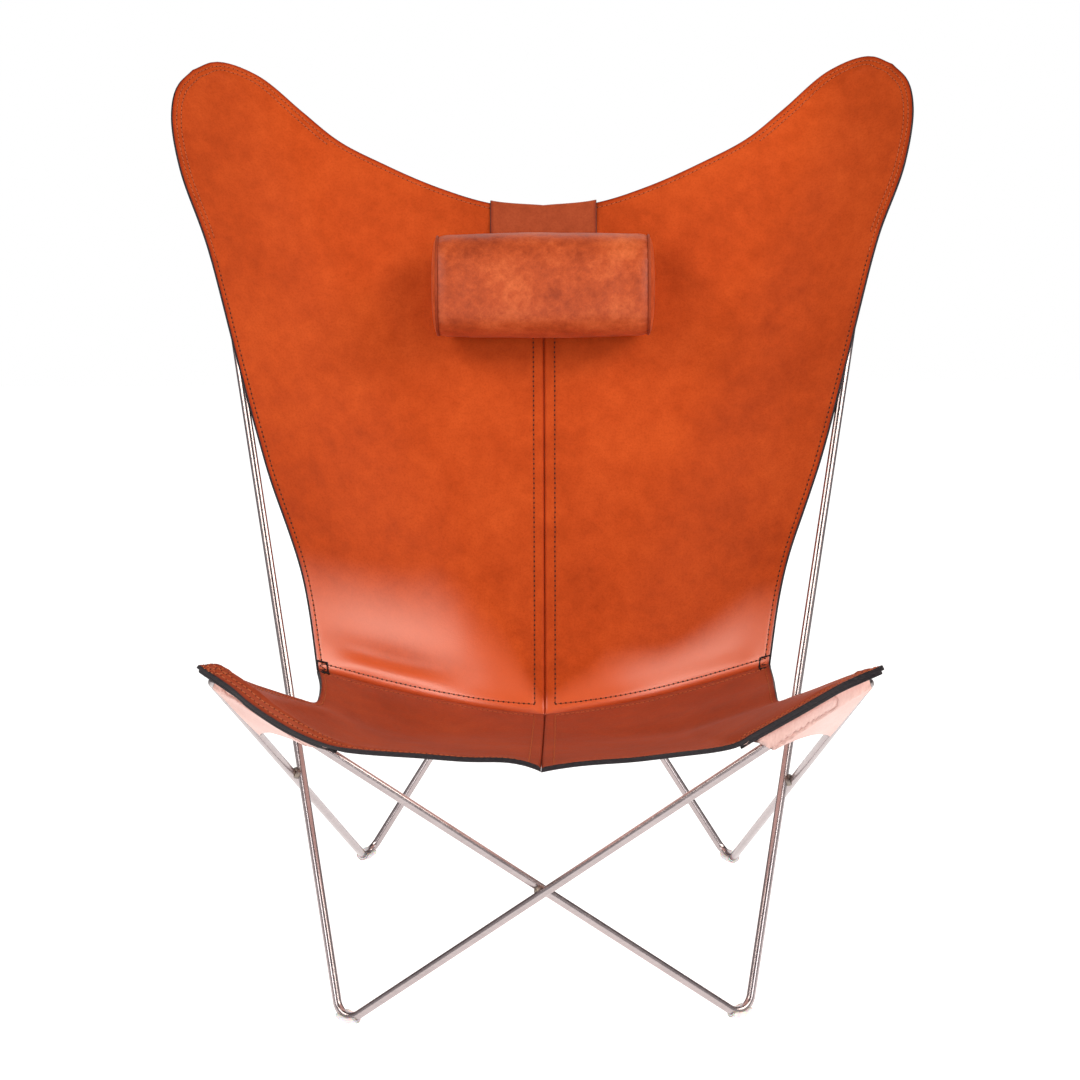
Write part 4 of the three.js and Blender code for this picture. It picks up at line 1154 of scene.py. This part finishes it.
def pocket(label, part, surface, shares):
    name = f"{'top' if part == 'back' else 'front'}_pocket_{label}"
    cuts = np.linspace(0, 1, POCKET_CUTS)
    s, t = np.meshgrid(cuts, POCKET_TIP * cuts ** POCKET_CROWD, indexing="ij")
    inset = POCKET_INSET[part]
    u = (1 - inset - (shares[0] - inset) * s * (1 - t)).ravel()
    v = (1 - inset - (shares[1] - inset) * (1 - s) ** POCKET_MOUTH[part] * (1 - t)).ravel()
    lift = surface.normal(u, v)
    under = surface.at(u, v) - lift * (LEATHER + CLEARANCE)
    hold = surface.hold
    corner = smoothstep((s * (1 - t)).ravel(), *POCKET_CORNER)
    closing = np.maximum(smoothstep(hold.outside(under), *POCKET_CLOSES[part]), corner)
    under = under - hold.normal * ((1 - closing) * np.maximum(hold.above(under) + SLING_OFF, 0))[:, None]
    middle = under.reshape(*s.shape, 3)
    normal = unit(np.cross(np.gradient(middle, axis=0), np.gradient(middle, axis=1)))
    normal = normal * np.where(dot(normal, lift.reshape(normal.shape)) < 0, -1, 1)[..., None]
    obj, _ = sheet_piece(name + "_leather", middle, normal, LEATHER, [FLESH_AND_GLARE, FLESH_AND_GLARE, PAINT], True)
    stand_in(obj, "leather_underside", name)


for label, side in SIDES.items():
    pocket(label, "back", BACKS[side], PEAK_POCKET)
    pocket(label, "seat", SEATS[side], WING_POCKET)


# Strips sewn behind the seams.

STRIP_STEPS = np.linspace(-STRIP_W / 2, STRIP_W / 2, 13)
STRIP_STARTS = 0.012
STRIP_ENDS = {"back": 0.93, "seat": 0.90}
WAIST_STRIP_ENDS = 0.95
# Across the waist seam the strip turns from the seat to the back: how far it turns, and how near the seam.
WAIST_TURN = (-0.004, 0.004)
WAIST_NEAR = (0.002, 0.010)


def strip(name, middle, normals):
    middle = middle - normals * (LEATHER / 2 + CLEARANCE + STRIP_T / 2)
    obj, _ = sheet_piece(name + "_leather", middle, normals, STRIP_T, [FLESH_AND_GLARE, FLESH_AND_GLARE], False)
    stand_in(obj, "leather_underside", name)


def middle_strip(part, surfaces):
    v = np.linspace(STRIP_STARTS, STRIP_ENDS[part], 90)
    columns, normals = [], []
    for d in STRIP_STEPS:
        side = 1 if d >= 0 else -1
        u = abs(d) / GRIDS[part, side].width(v)
        columns.append(surfaces[side].at(u, v))
        normal = surfaces[side].normal(u, v)
        if abs(d) < 1e-6:
            normal[:, 0] = 0
        normals.append(unit(normal))
    strip(f"seam_strip_{part}", np.stack(columns), np.stack(normals))


def waist_strip():
    span = np.linspace(-WAIST_STRIP_ENDS, WAIST_STRIP_ENDS, 121)
    lines, normals = [], []
    for d in STRIP_STEPS:
        part, surfaces = ("seat", SEATS) if d < 0 else ("back", BACKS)
        turned = smoothstep(d, *WAIST_TURN)
        near = 1 - smoothstep(abs(d), *WAIST_NEAR)
        line, normal = np.empty((2, len(span), 3))
        for side, at in ((-1, span < 0), (1, span >= 0)):
            u = np.abs(span[at])
            v = abs(d) / GRIDS[part, side].length(u)
            line[at] = surfaces[side].at(u, v)
            of_seat, of_back = SEATS[side].normal(u, 0 * u), BACKS[side].normal(u, 0 * u)
            own = surfaces[side].normal(u, v)
            normal[at] = own * (1 - near) + near * (of_seat * (1 - turned) + of_back * turned)
        lines.append(line)
        normals.append(unit(normal))
    strip("seam_strip_waist", np.stack(lines), np.stack(normals))


middle_strip("back", BACKS)
middle_strip("seat", SEATS)
waist_strip()


# Thread boxes that lock the waist seam.

TACK_R = 0.0012
TACK_W = 0.0108
TACK_UP = 0.0104
TACK_DOWN = 0.0120
TACK_PAST_EDGE = 0.0004
TACK_AT_SEAM = 0.0005
TACK_CUTS = 84
TACK_WRAP = 0.14
ZIGZAG_R = 0.0004
ZIGZAG_INSET = 0.0018
ZIGZAG_ENDS = 0.0015
ZIGZAG_PROUD = 0.0001


def spot(side, part, from_edge, from_seam, lift):
    """A point over the end of the waist seam, by its distances from the outer edge and the seam."""
    surface = (BACKS if part == "back" else SEATS)[side]
    grid = GRIDS[part, side]
    v = np.array([from_seam]) / grid.length(np.ones(1))
    u = 1 - np.array([from_edge]) / grid.width(v)
    return (surface.at(u, v) + surface.normal(u, v) * lift)[0]


def bar_tack(label, side):
    """A box of wrapped thread that turns over the outer edge, with a zigzag in it."""
    name = f"bar_tack_{label}"
    lift = LEATHER / 2 + TACK_R * 0.9
    over, inner, seam = -TACK_PAST_EDGE, TACK_W, TACK_AT_SEAM
    places = [("back", inner, TACK_UP, 1.0), ("back", over, TACK_UP, 0.6), ("back", over, seam, 0.4),
              ("seat", over, TACK_DOWN, 0.6), ("seat", inner, TACK_DOWN, 1.0), ("back", inner, seam, 0.7)]
    corners = [spot(side, part, from_edge, away, lift * share) for part, from_edge, away, share in places]
    loop = np.array(corners + corners[:1])
    box = along(loop, np.linspace(0, walked(loop)[-1], TACK_CUTS, endpoint=False))
    wraps = TACK_R * (1 - TACK_WRAP + TACK_WRAP * np.cos(np.pi * np.arange(len(box))))
    points, faces = tube(box, wraps, 10, True)
    zigzag = []
    for k, down in enumerate(np.linspace(ZIGZAG_ENDS - TACK_UP, TACK_DOWN - ZIGZAG_ENDS, 7)):
        from_edge = ZIGZAG_INSET if k % 2 else TACK_W - ZIGZAG_INSET
        part = "back" if down < 0 else "seat"
        zigzag.append(spot(side, part, from_edge, abs(down), LEATHER / 2 + ZIGZAG_PROUD))
    zigzag = np.array(zigzag)
    more, more_faces = tube(along(zigzag, np.linspace(0, walked(zigzag)[-1], 43)), ZIGZAG_R, 6, False)
    faces = faces + copies(more_faces, 0, 1, len(points))
    obj = link(name + "_thread", np.concatenate([points, more]), faces, [BLACK])
    stand_in(obj, "thread", name)


for label, side in SIDES.items():
    bar_tack(label, side)


# Rods, welds and glides.

BUTT_BEAD = 0.00022
BUTT_BEAD_LONG = 0.0018
GLIDE_CUTS = 19
GLIDE_WRAP = math.radians(100)
GLIDE_EASE = (0.88, 0.97)
GLIDE_LIP = 0.0005


def rod_piece(label, side):
    name = f"frame_rod_{label}"
    line, butt = RODS[side].path()
    away = np.linalg.norm(line - butt, axis=1)
    points, faces = tube(line, ROD_R + BUTT_BEAD * bump(away, 0, BUTT_BEAD_LONG), 32, True)
    obj = link(name + "_satin", points, faces, [STEEL])
    stand_in(obj, "steel", name)


for label, side in SIDES.items():
    rod_piece(label, side)
for node in ("weld_front", "weld_rear", "weld_left", "weld_right", "counterweight_bar"):
    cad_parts[node].material_slots[0].material = WELD


def glide_piece(name, bend):
    """A saddle clipped under the foot bend, flat where it stands."""
    angles = np.linspace(0, bend.sweep, 200)
    lowest = angles[np.argmin(bend.at(angles)[:, 2])]
    line = bend.at(lowest + np.linspace(-0.5, 0.5, GLIDE_CUTS) * GLIDE_SWEEP)
    ahead = unit(np.gradient(line, axis=0))
    down = np.array([0, 0, -1.0])
    down = unit(down - ahead * dot(ahead, down)[:, None])
    side = np.cross(ahead, down)
    inner = ROD_R + CLEARANCE
    between = (GLIDE_R + inner) / 2
    wrap = np.linspace(-GLIDE_WRAP, GLIDE_WRAP, 24)
    turn = np.concatenate([wrap, [GLIDE_WRAP], wrap[::-1], [-GLIDE_WRAP]])[None, :, None]
    radius = np.concatenate([np.full(24, GLIDE_R), [between], np.full(24, inner), [between]])
    ease = np.ones(GLIDE_CUTS)
    ease[:2] = GLIDE_EASE
    ease[-2:] = GLIDE_EASE[::-1]
    reach = np.where(radius > inner, radius * ease[:, None], radius)[..., None]
    points = line[:, None] + reach * (np.cos(turn) * down[:, None] + np.sin(turn) * side[:, None])
    points[..., 2] = np.clip(points[..., 2], 0.0, (GLIDE_HEIGHT + GLIDE_LIP * ease)[:, None])
    size = len(radius)
    faces = ring_quads(GLIDE_CUTS, size)
    for ring, flip in ((0, 1), (GLIDE_CUTS - 1, -1)):
        for j in range(size // 2 - 1):
            quad = (j, j + 1, size - 3 - j, size - 2 - j)
            faces.append(tuple(ring * size + q for q in quad[::flip]))
    obj = link(name + "_milky", points.reshape(-1, 3), faces, [PLASTIC])
    stand_in(obj, "glide_plastic", name)


for label, side in SIDES.items():
    glide_piece(f"glide_front_{label}", RODS[side].foot_bend)
    glide_piece(f"glide_rear_{label}", RODS[-side].rear_bend)


# Headrest: a filled roll with drawn-in ends, welted end seams and narrow domed ends.

def back_line(z):
    """Point and normal of the middle of the back at a height."""
    v = np.atleast_1d((z - LOW_Z) / (TOP_Z - LOW_Z))
    normal = BACKS[1].normal(0 * v, v)
    normal[:, 0] = 0
    return BACKS[1].at(0 * v, v), unit(normal)


STRAP_OFF = LEATHER / 2 + CLEARANCE + STRAP_T / 2
REST_POINT, OUT = (part[0] for part in back_line(TOP_Z - HEADREST_DROP))
UP = np.array([0, OUT[2], -OUT[1]])
HEADREST_AT = REST_POINT + OUT * (STRAP_OFF + STRAP_T / 2 + 2 * CLEARANCE + HEADREST_DEPTH / 2)
ROLL_SIDES = 112
ROLL_ENDS = mm(0, 0.6, 1.4, 2.6, 4.2, 6.2, 8.6, 11.5, 15, 19.5, 25)
ROLL_MIDDLE = 0.031
# The cover is drawn in at the end seam, swells behind it, and has puckers that die away from the seam.
END_PULL = (0.0021, 0.0035)
END_SWELL = (0.0006, 0.012, 0.008)
PUCKERS = 31
PUCKER = (0.00075, 0.009, 0.002)
PUCKER_DRIFT = 5
LUMP = 0.0008
LUMP_SCALES = (19, 46)
FLAT_BEHIND = -0.6
# Painted shade at the drawn-in end seams: the cover darkens within about this distance of its ends.
ROLL_SEAM_SHADE = 0.0022
# The end caps are domed, with gathers, and a welt lies in the seam.
CAP_INSET = 0.0012
CAP_GAP = 0.0004
CAP_DOME = 0.0075
CAP_GATHERS = 27
CAP_GATHER = 0.00035
WELT_R = 0.0017
WELT_IN = 0.0010
WELT_TWIST = (0.05, 60)
# The welt is darker all over.
WELT_DARK = 0.55


def oval(x, grow=0.0, shrink=1.0):
    """Section of the roll at x: its points, their outward ways and angles."""
    angle = around(ROLL_SIDES)
    draw = shrink * (1 - HEADREST_DRAW_IN * min(abs(2 * x / HEADREST_L), 1) ** 3)
    c = squarish(np.cos(angle), 2 / HEADREST_SQUARE)[:, None]
    s = squarish(np.sin(angle), 2 / HEADREST_SQUARE)[:, None]
    forward, upward = (HEADREST_DEPTH / 2 + grow) * draw * c * OUT, (HEADREST_H / 2 + grow) * draw * s * UP
    ring = HEADREST_AT + forward + upward
    ring[:, 0] = x
    return ring, unit(c * OUT + s * UP), angle


def roll_cover():
    half = HEADREST_L / 2
    stations = np.concatenate([half - ROLL_ENDS, np.linspace(half - ROLL_MIDDLE, ROLL_MIDDLE - half, 45),
                               (ROLL_ENDS - half)[::-1]])
    pull, pull_long = END_PULL
    swell, swell_at, swell_long = END_SWELL
    height, pucker_long, pucker_from = PUCKER
    rings, darkened = [], []
    for x in stations:
        ring, outward, angle = oval(x)
        end = half - abs(x)
        phase = 2.2 * math.copysign(1, x)
        uneven = np.array([noise.noise(Vector((math.cos(a) * 2, math.sin(a) * 2, phase))) for a in angle])
        pucker = np.cos(PUCKERS * angle + PUCKER_DRIFT * uneven) * (0.55 + 0.45 * uneven)
        pucker = height * pucker * math.exp(-end / pucker_long) * min(end / pucker_from, 1)
        large, small = (np.array([noise.noise(Vector(p) * scale) for p in ring]) for scale in LUMP_SCALES)
        shift = swell * bump(end, swell_at, swell_long) - pull * math.exp(-end / pull_long)
        shift = shift + pucker + LUMP * (large + 0.5 * small)
        shift = np.where(np.cos(angle) < FLAT_BEHIND, np.minimum(shift, 0), shift)
        rings.append(ring + outward * shift[:, None])
        # Painted shade, darkest at the drawn-in end seam.
        darkened.append(np.full(len(ring), math.exp(-end / ROLL_SEAM_SHADE)))
    points, faces = capped(rings)
    obj = link("headrest_roll", points, faces, [ROLL], body="headrest")
    set_value(obj, "wear_and_shade", np.concatenate([*darkened, [1, 1]]))
    stand_in(obj, "soft_leather", "headrest_cover", "headrest_core")


def roll_end(label, side):
    half = HEADREST_L / 2
    rings = []
    for r in np.concatenate([[1.0], np.cos(np.linspace(0, np.pi / 2, 22))[:-1]]):
        ring, _, angle = oval(side * half, -CAP_INSET, max(r, 0.02))
        dome = CAP_DOME * math.sqrt(max(1 - r ** 2.6, 0))
        gathers = CAP_GATHER * np.cos(CAP_GATHERS * angle) * r ** 6 * (1 - r ** 12)
        ring[:, 0] = side * (half + CAP_GAP + dome + gathers)
        rings.append(ring)
    points, faces = capped(rings[::-1] if side > 0 else rings)
    obj = link(f"headrest_end_{label}_domed", points, faces, [ROLL], body="headrest")
    stand_in(obj, "soft_leather", f"headrest_end_{label}")
    ring, outward, angle = oval(side * (half + 0.0003))
    twist, turns = WELT_TWIST
    points, faces = tube(ring - outward * WELT_IN, WELT_R * (1 + twist * np.cos(turns * angle)), 10, True)
    welt = link(f"headrest_welt_{label}", points, faces, [STRAP], body="headrest")
    set_value(welt, "wear_and_shade", np.full(len(points), WELT_DARK))


roll_cover()
for label, side in SIDES.items():
    roll_end(label, side)


# Strap over the top edge, with the counterweight behind.

LEG_Z = TOP_Z - STRAP_LEG
POUCH_TOP = LEG_Z - STRAP_TAIL
STRAP_X = np.linspace(-STRAP_W / 2, STRAP_W / 2, 33)
STRAP_MIDDLE = len(STRAP_X) // 2
STRAP_WEAR = 0.0022
FRONT_ROWS = 16
BEHIND = np.array([0, 1.0, 0])


def top_edge(x):
    """Points of the sling's top edge at the given places across."""
    share = np.linspace(0, 0.4, 80)
    line = BACKS[1].at(share, 0 * share + 1)
    y, z = (np.interp(np.abs(x), line[:, 0], line[:, k]) for k in (1, 2))
    return np.stack([x, y, z], axis=1)


def strap_rows():
    """Rows of the strap's middle and their normals, from the headrest up the front, over the edge and down
    behind to the end of its leg; and the rows from there down to the pouch."""
    edge = top_edge(STRAP_X)
    forward = back_line(TOP_Z - 0.0005)[1][0]
    upward = np.array([0, forward[2], -forward[1]])
    rows, normals = [], []

    def add(row, normal):
        rows.append(row)
        normals.append(np.tile(normal, (len(STRAP_X), 1)))

    for z in np.linspace(TOP_Z - HEADREST_DROP, LEG_Z, FRONT_ROWS):
        point, normal = back_line(z)
        row = np.repeat(point + normal * STRAP_OFF, len(STRAP_X), axis=0)
        row[:, 0] = STRAP_X
        add(row, normal)
    for angle in np.linspace(0, np.pi, 15):
        out = forward * math.cos(angle) + upward * math.sin(angle)
        add(edge + out * STRAP_OFF, out)
    behind = rows[-1]

    def at_height(z):
        return np.stack([behind[:, 0], behind[:, 1], np.broadcast_to(z, len(behind))], axis=1)

    for share in np.linspace(0, 1, 6)[1:]:
        add(at_height(behind[:, 2] + (LEG_Z - behind[:, 2]) * share), BEHIND)
    down = [at_height(z) for z in np.linspace(LEG_Z, POUCH_TOP + CLEARANCE, 14)]
    return np.stack(rows, axis=1), np.stack(normals, axis=1), np.stack(down, axis=1)


def strap_piece(name, middle, normals, replaced):
    """A length of strap from the chair to another body, baked in place without a body of its own."""
    obj, points = sheet_piece(name, middle, normals, STRAP_T, [STRAP, FLESH_AND_GLARE, PAINT], True, body=None)
    set_value(obj, "wear_and_shade", bump(np.abs(points[:, 0]), STRAP_W / 2, STRAP_WEAR))
    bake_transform(obj)
    stand_in(obj, "soft_leather", *replaced)


STRAP_ROWS, STRAP_NORMALS, STRAP_DOWN = strap_rows()
strap_piece("strap_over_edge", STRAP_ROWS, STRAP_NORMALS, ["strap_bend", "strap_front"])
strap_piece("strap_behind", STRAP_DOWN, np.tile(BEHIND, (*STRAP_DOWN.shape[:2], 1)), ["strap_rear"])

POUCH_SIDES = 64
POUCH_SQUARE = 0.35
POUCH_END = 0.0008
POUCH_END_IN = 0.0006
POUCH_FULL = 0.45
POUCH_FILLS = (-0.001, 0.006)
POUCH_PINCH = 0.10
POUCH_PINCHED = (0.014, 0.004)
POUCH_WEAR = 0.002
POUCH_ROWS_IN = (0.004, 0.005)
POUCH_ROWS_OUT = 0.02


def pouch():
    """A flat leather pouch, sewn shut round its steel bar."""
    centre = STRAP_DOWN[STRAP_MIDDLE, -1].copy()
    centre[2] = POUCH_TOP - POUCH_H / 2
    wide, high = STRAP_W / 2, POUCH_H / 2
    angle = around(POUCH_SIDES)
    rings = []
    for x in np.concatenate([[-wide], np.linspace(POUCH_END - wide, wide - POUCH_END, 41), [wide]]):
        end = wide - abs(x)
        full = POUCH_FULL + (1 - POUCH_FULL) * smoothstep(end, *POUCH_FILLS)
        up = squarish(np.sin(angle), POUCH_SQUARE) * (high - POUCH_END_IN * (end < POUCH_END / 2))
        pinch = 1 - POUCH_PINCH * smoothstep(up, *(high - d for d in POUCH_PINCHED))
        depth = squarish(np.cos(angle), POUCH_SQUARE) * POUCH_DEPTH / 2 * full * pinch
        rings.append(np.stack([np.full(POUCH_SIDES, x), centre[1] + depth, centre[2] + up], axis=1))
    points, faces = capped(rings)
    obj = link("counterweight_pouch_sewn", points, faces, [STRAP], body="counterweight")
    set_value(obj, "wear_and_shade", bump(np.abs(points[:, 0]), wide, POUCH_WEAR))
    stand_in(obj, "soft_leather", "counterweight_pouch")
    tree = surface_tree(points, faces)
    x, z = wide - POUCH_ROWS_IN[0], high - POUCH_ROWS_IN[1]
    rows = []
    for y in (-POUCH_ROWS_OUT, POUCH_ROWS_OUT):
        for a, b in (((-x, y, z), (x, y, z)), ((-x, y, -z), (-x, y, z)), ((x, y, -z), (x, y, z))):
            rows.append(sewn_row(np.linspace(centre + np.array(a), centre + np.array(b), 30), tree))
    stitches("stitching_pouch", rows, TOP_Z, body="counterweight")


pouch()


# Floor, camera and light.

FLOOR_HALF_WIDTH = 3.4
FLOOR_FRONT = -4.2
FLOOR_REAR = 3.2
FLOOR_GLOW = 0.95
# Black flags lie on the paper behind the chair at both sides. The first two are shares of the way to the
# rear, the third is their distance from the chair.
FLAG_SHADE = 0.82
FLAGS_START = (0.10, 0.30)
FLAGS_STOP = (0.90, 0.97)
FLAGS_BEYOND = (0.6, 0.9)
# The paper in front of the chair is a little brighter in reflections.
BRIGHT_AHEAD = 1.1
AHEAD = (-0.3, -0.9)


def floor():
    """Bright studio paper. The flags keep its glow off the rims of the rods."""
    look = Look("pale_floor", Specular_IOR_Level=0.1)
    place = look.node("ShaderNodeNewGeometry").outputs["Position"]
    way = look.node("ShaderNodeVectorMath", {0: place}, operation="NORMALIZE").outputs["Vector"]
    away = look.node("ShaderNodeVectorMath", {0: place}, operation="LENGTH").outputs["Value"]
    rearward = look.node("ShaderNodeSeparateXYZ", {0: way}).outputs["Y"]
    depth = look.node("ShaderNodeSeparateXYZ", {0: place}).outputs["Y"]
    path = look.node("ShaderNodeLightPath").outputs
    flags = look.times(look.spread(rearward, 0, 1, *FLAGS_START), look.spread(rearward, 1, 0, *FLAGS_STOP))
    flags = look.times(flags, look.spread(away, 0, 1, *FLAGS_BEYOND))
    glow = look.math("SUBTRACT", 1.0, look.times(flags, FLAG_SHADE))
    more = look.math("SUBTRACT", look.spread(depth, 1.0, BRIGHT_AHEAD, *AHEAD), 1.0)
    bright = look.math("ADD", look.times(path["Is Glossy Ray"], more), 1.0)
    glow = look.math("MAXIMUM", look.times(glow, bright), path["Is Camera Ray"])
    look.set("Emission Strength", look.times(glow, FLOOR_GLOW))
    clouds = look.noise(1.5, 3.0, 0.5)
    look.set("Base Color", look.ramp(clouds, (0.3, (0.48, 0.48, 0.48)), (0.7, (0.52, 0.52, 0.52))))
    look.set("Emission Color", look.ramp(clouds, (0.3, (0.98, 0.98, 0.98)), (0.7, (1.0, 1.0, 1.0))))
    look.set("Roughness", look.spread(clouds, 0.75, 0.9))
    x = FLOOR_HALF_WIDTH
    corners = [(-x, FLOOR_FRONT, 0), (x, FLOOR_FRONT, 0), (x, FLOOR_REAR, 0), (-x, FLOOR_REAR, 0)]
    mesh = bpy.data.meshes.new("floor")
    mesh.from_pydata(corners, [], [(0, 1, 2, 3)])
    mesh.materials.append(look.material)
    in_scene("floor", mesh)


CAMERA_AT = (0.031, -2.4603, 1.1778)
CAMERA_DOWN = math.radians(15.73)
CAMERA_TURN = math.radians(-0.8)
CAMERA_ROLL = math.radians(-0.5)
CAMERA_LENS = 74.53
CAMERA_SENSOR = 36


def camera():
    data = bpy.data.cameras.new("camera")
    data.sensor_width = CAMERA_SENSOR
    data.lens = CAMERA_LENS
    obj = in_scene("camera", data)
    level = math.cos(CAMERA_DOWN)
    ahead = Vector((math.sin(CAMERA_TURN) * level, math.cos(CAMERA_TURN) * level, -math.sin(CAMERA_DOWN)))
    right = ahead.cross(Vector((0, 0, 1))).normalized()
    up = right.cross(ahead)
    turned = right * math.cos(CAMERA_ROLL) + up * math.sin(CAMERA_ROLL)
    upright = up * math.cos(CAMERA_ROLL) - right * math.sin(CAMERA_ROLL)
    facing = Matrix((turned, upright, -ahead)).transposed().to_4x4()
    obj.matrix_world = Matrix.Translation(CAMERA_AT) @ facing
    bpy.context.scene.camera = obj


# Soft lights: place, target, width and height, watts and colour.
WHITE = (1.0, 1.0, 1.0)
WARM = (1.0, 0.91, 0.82)
LIGHTS = {
    "front_right": ((1.95, -3.0, 1.6), (0, 0.1, 0.6), (1.0, 1.3), 21, WHITE),
    "front_left": ((-1.95, -3.0, 1.6), (0, 0.1, 0.6), (1.0, 1.3), 21, WHITE),
    "side_right": ((2.11, -1.00, 2.33), (-0.17, 0.06, 0.36), (2.5, 1.1), 61, WARM),
    "side_left": ((-1.99, -1.09, 2.38), (0.17, 0.06, 0.32), (2.0, 1.1), 41, WARM),
}
# Room: shares of the way looked along, between which the backdrop and the lighter front wall fade in.
BACKDROP_BEHIND = (0.05, 0.3)
BACKDROP_ASIDE = (0.45, 0.25)
BACKDROP_BELOW = (0.92, 0.70)
BACKDROP_GLOW = 1.2
WALL_AHEAD = (0.35, 0.05)
WALL_BELOW = (0.65, 0.35)
WALLS = (0.040, 0.044, 0.058, 1)
WALLS_MIRRORED = (0.13, 0.11, 0.12, 1)
FRONT_WALL_MIRRORED = (0.46, 0.44, 0.45, 1)


def soft_light(name, place, target, size, watts, colour):
    data = bpy.data.lights.new(name, "AREA")
    data.shape = "RECTANGLE"
    data.size, data.size_y = size
    data.energy = watts
    data.color = colour
    obj = in_scene(name, data)
    obj.location = place
    obj.rotation_mode = "QUATERNION"
    obj.rotation_quaternion = (Vector(target) - Vector(place)).to_track_quat("-Z", "Y")


def studio():
    """A dim room with a bright backdrop behind the chair, two lights in front and two at the sides."""
    world = bpy.data.worlds.new("studio")
    bpy.context.scene.world = world
    world.use_nodes = True
    tree = world.node_tree
    tree.nodes.clear()

    def node(kind, inputs, **settings):
        return add_node(tree, kind, inputs, **settings).outputs

    def fade(value, limits, how="LINEAR"):
        inputs = {"Value": value, "From Min": limits[0], "From Max": limits[1]}
        return node("ShaderNodeMapRange", inputs, interpolation_type=how)["Result"]

    def eased(value, limits):
        return fade(value, limits, "SMOOTHSTEP")

    def times(a, b):
        return node("ShaderNodeMath", {0: a, 1: b}, operation="MULTIPLY")["Value"]

    def mixed(factor, a, b):
        return node("ShaderNodeMix", {0: factor, 6: a, 7: b}, data_type="RGBA")[2]

    way = node("ShaderNodeSeparateXYZ", {0: node("ShaderNodeTexCoord", {})["Generated"]})
    path = node("ShaderNodeLightPath", {})
    aside = node("ShaderNodeMath", {0: way["X"]}, operation="ABSOLUTE")["Value"]
    backdrop = times(eased(way["Y"], BACKDROP_BEHIND), eased(aside, BACKDROP_ASIDE))
    backdrop = times(backdrop, eased(way["Z"], BACKDROP_BELOW))
    front = times(fade(way["Y"], WALL_AHEAD), fade(way["Z"], WALL_BELOW))
    mirrored = mixed(front, WALLS_MIRRORED, FRONT_WALL_MIRRORED)
    walls = mixed(path["Is Glossy Ray"], WALLS, mirrored)
    dim = node("ShaderNodeBackground", {"Color": walls})["Background"]
    paper = node("ShaderNodeBackground", {"Color": (*WHITE, 1), "Strength": BACKDROP_GLOW})["Background"]
    room = node("ShaderNodeMixShader", {0: backdrop, 1: dim, 2: paper})["Shader"]
    white = node("ShaderNodeBackground", {"Color": (*WHITE, 1)})["Background"]
    seen = node("ShaderNodeMixShader", {0: path["Is Camera Ray"], 1: room, 2: white})["Shader"]
    node("ShaderNodeOutputWorld", {"Surface": seen})
    for name, light in LIGHTS.items():
        soft_light(name, *light)


floor()
camera()
studio()
bpy.context.scene.view_settings.view_transform = "Standard"
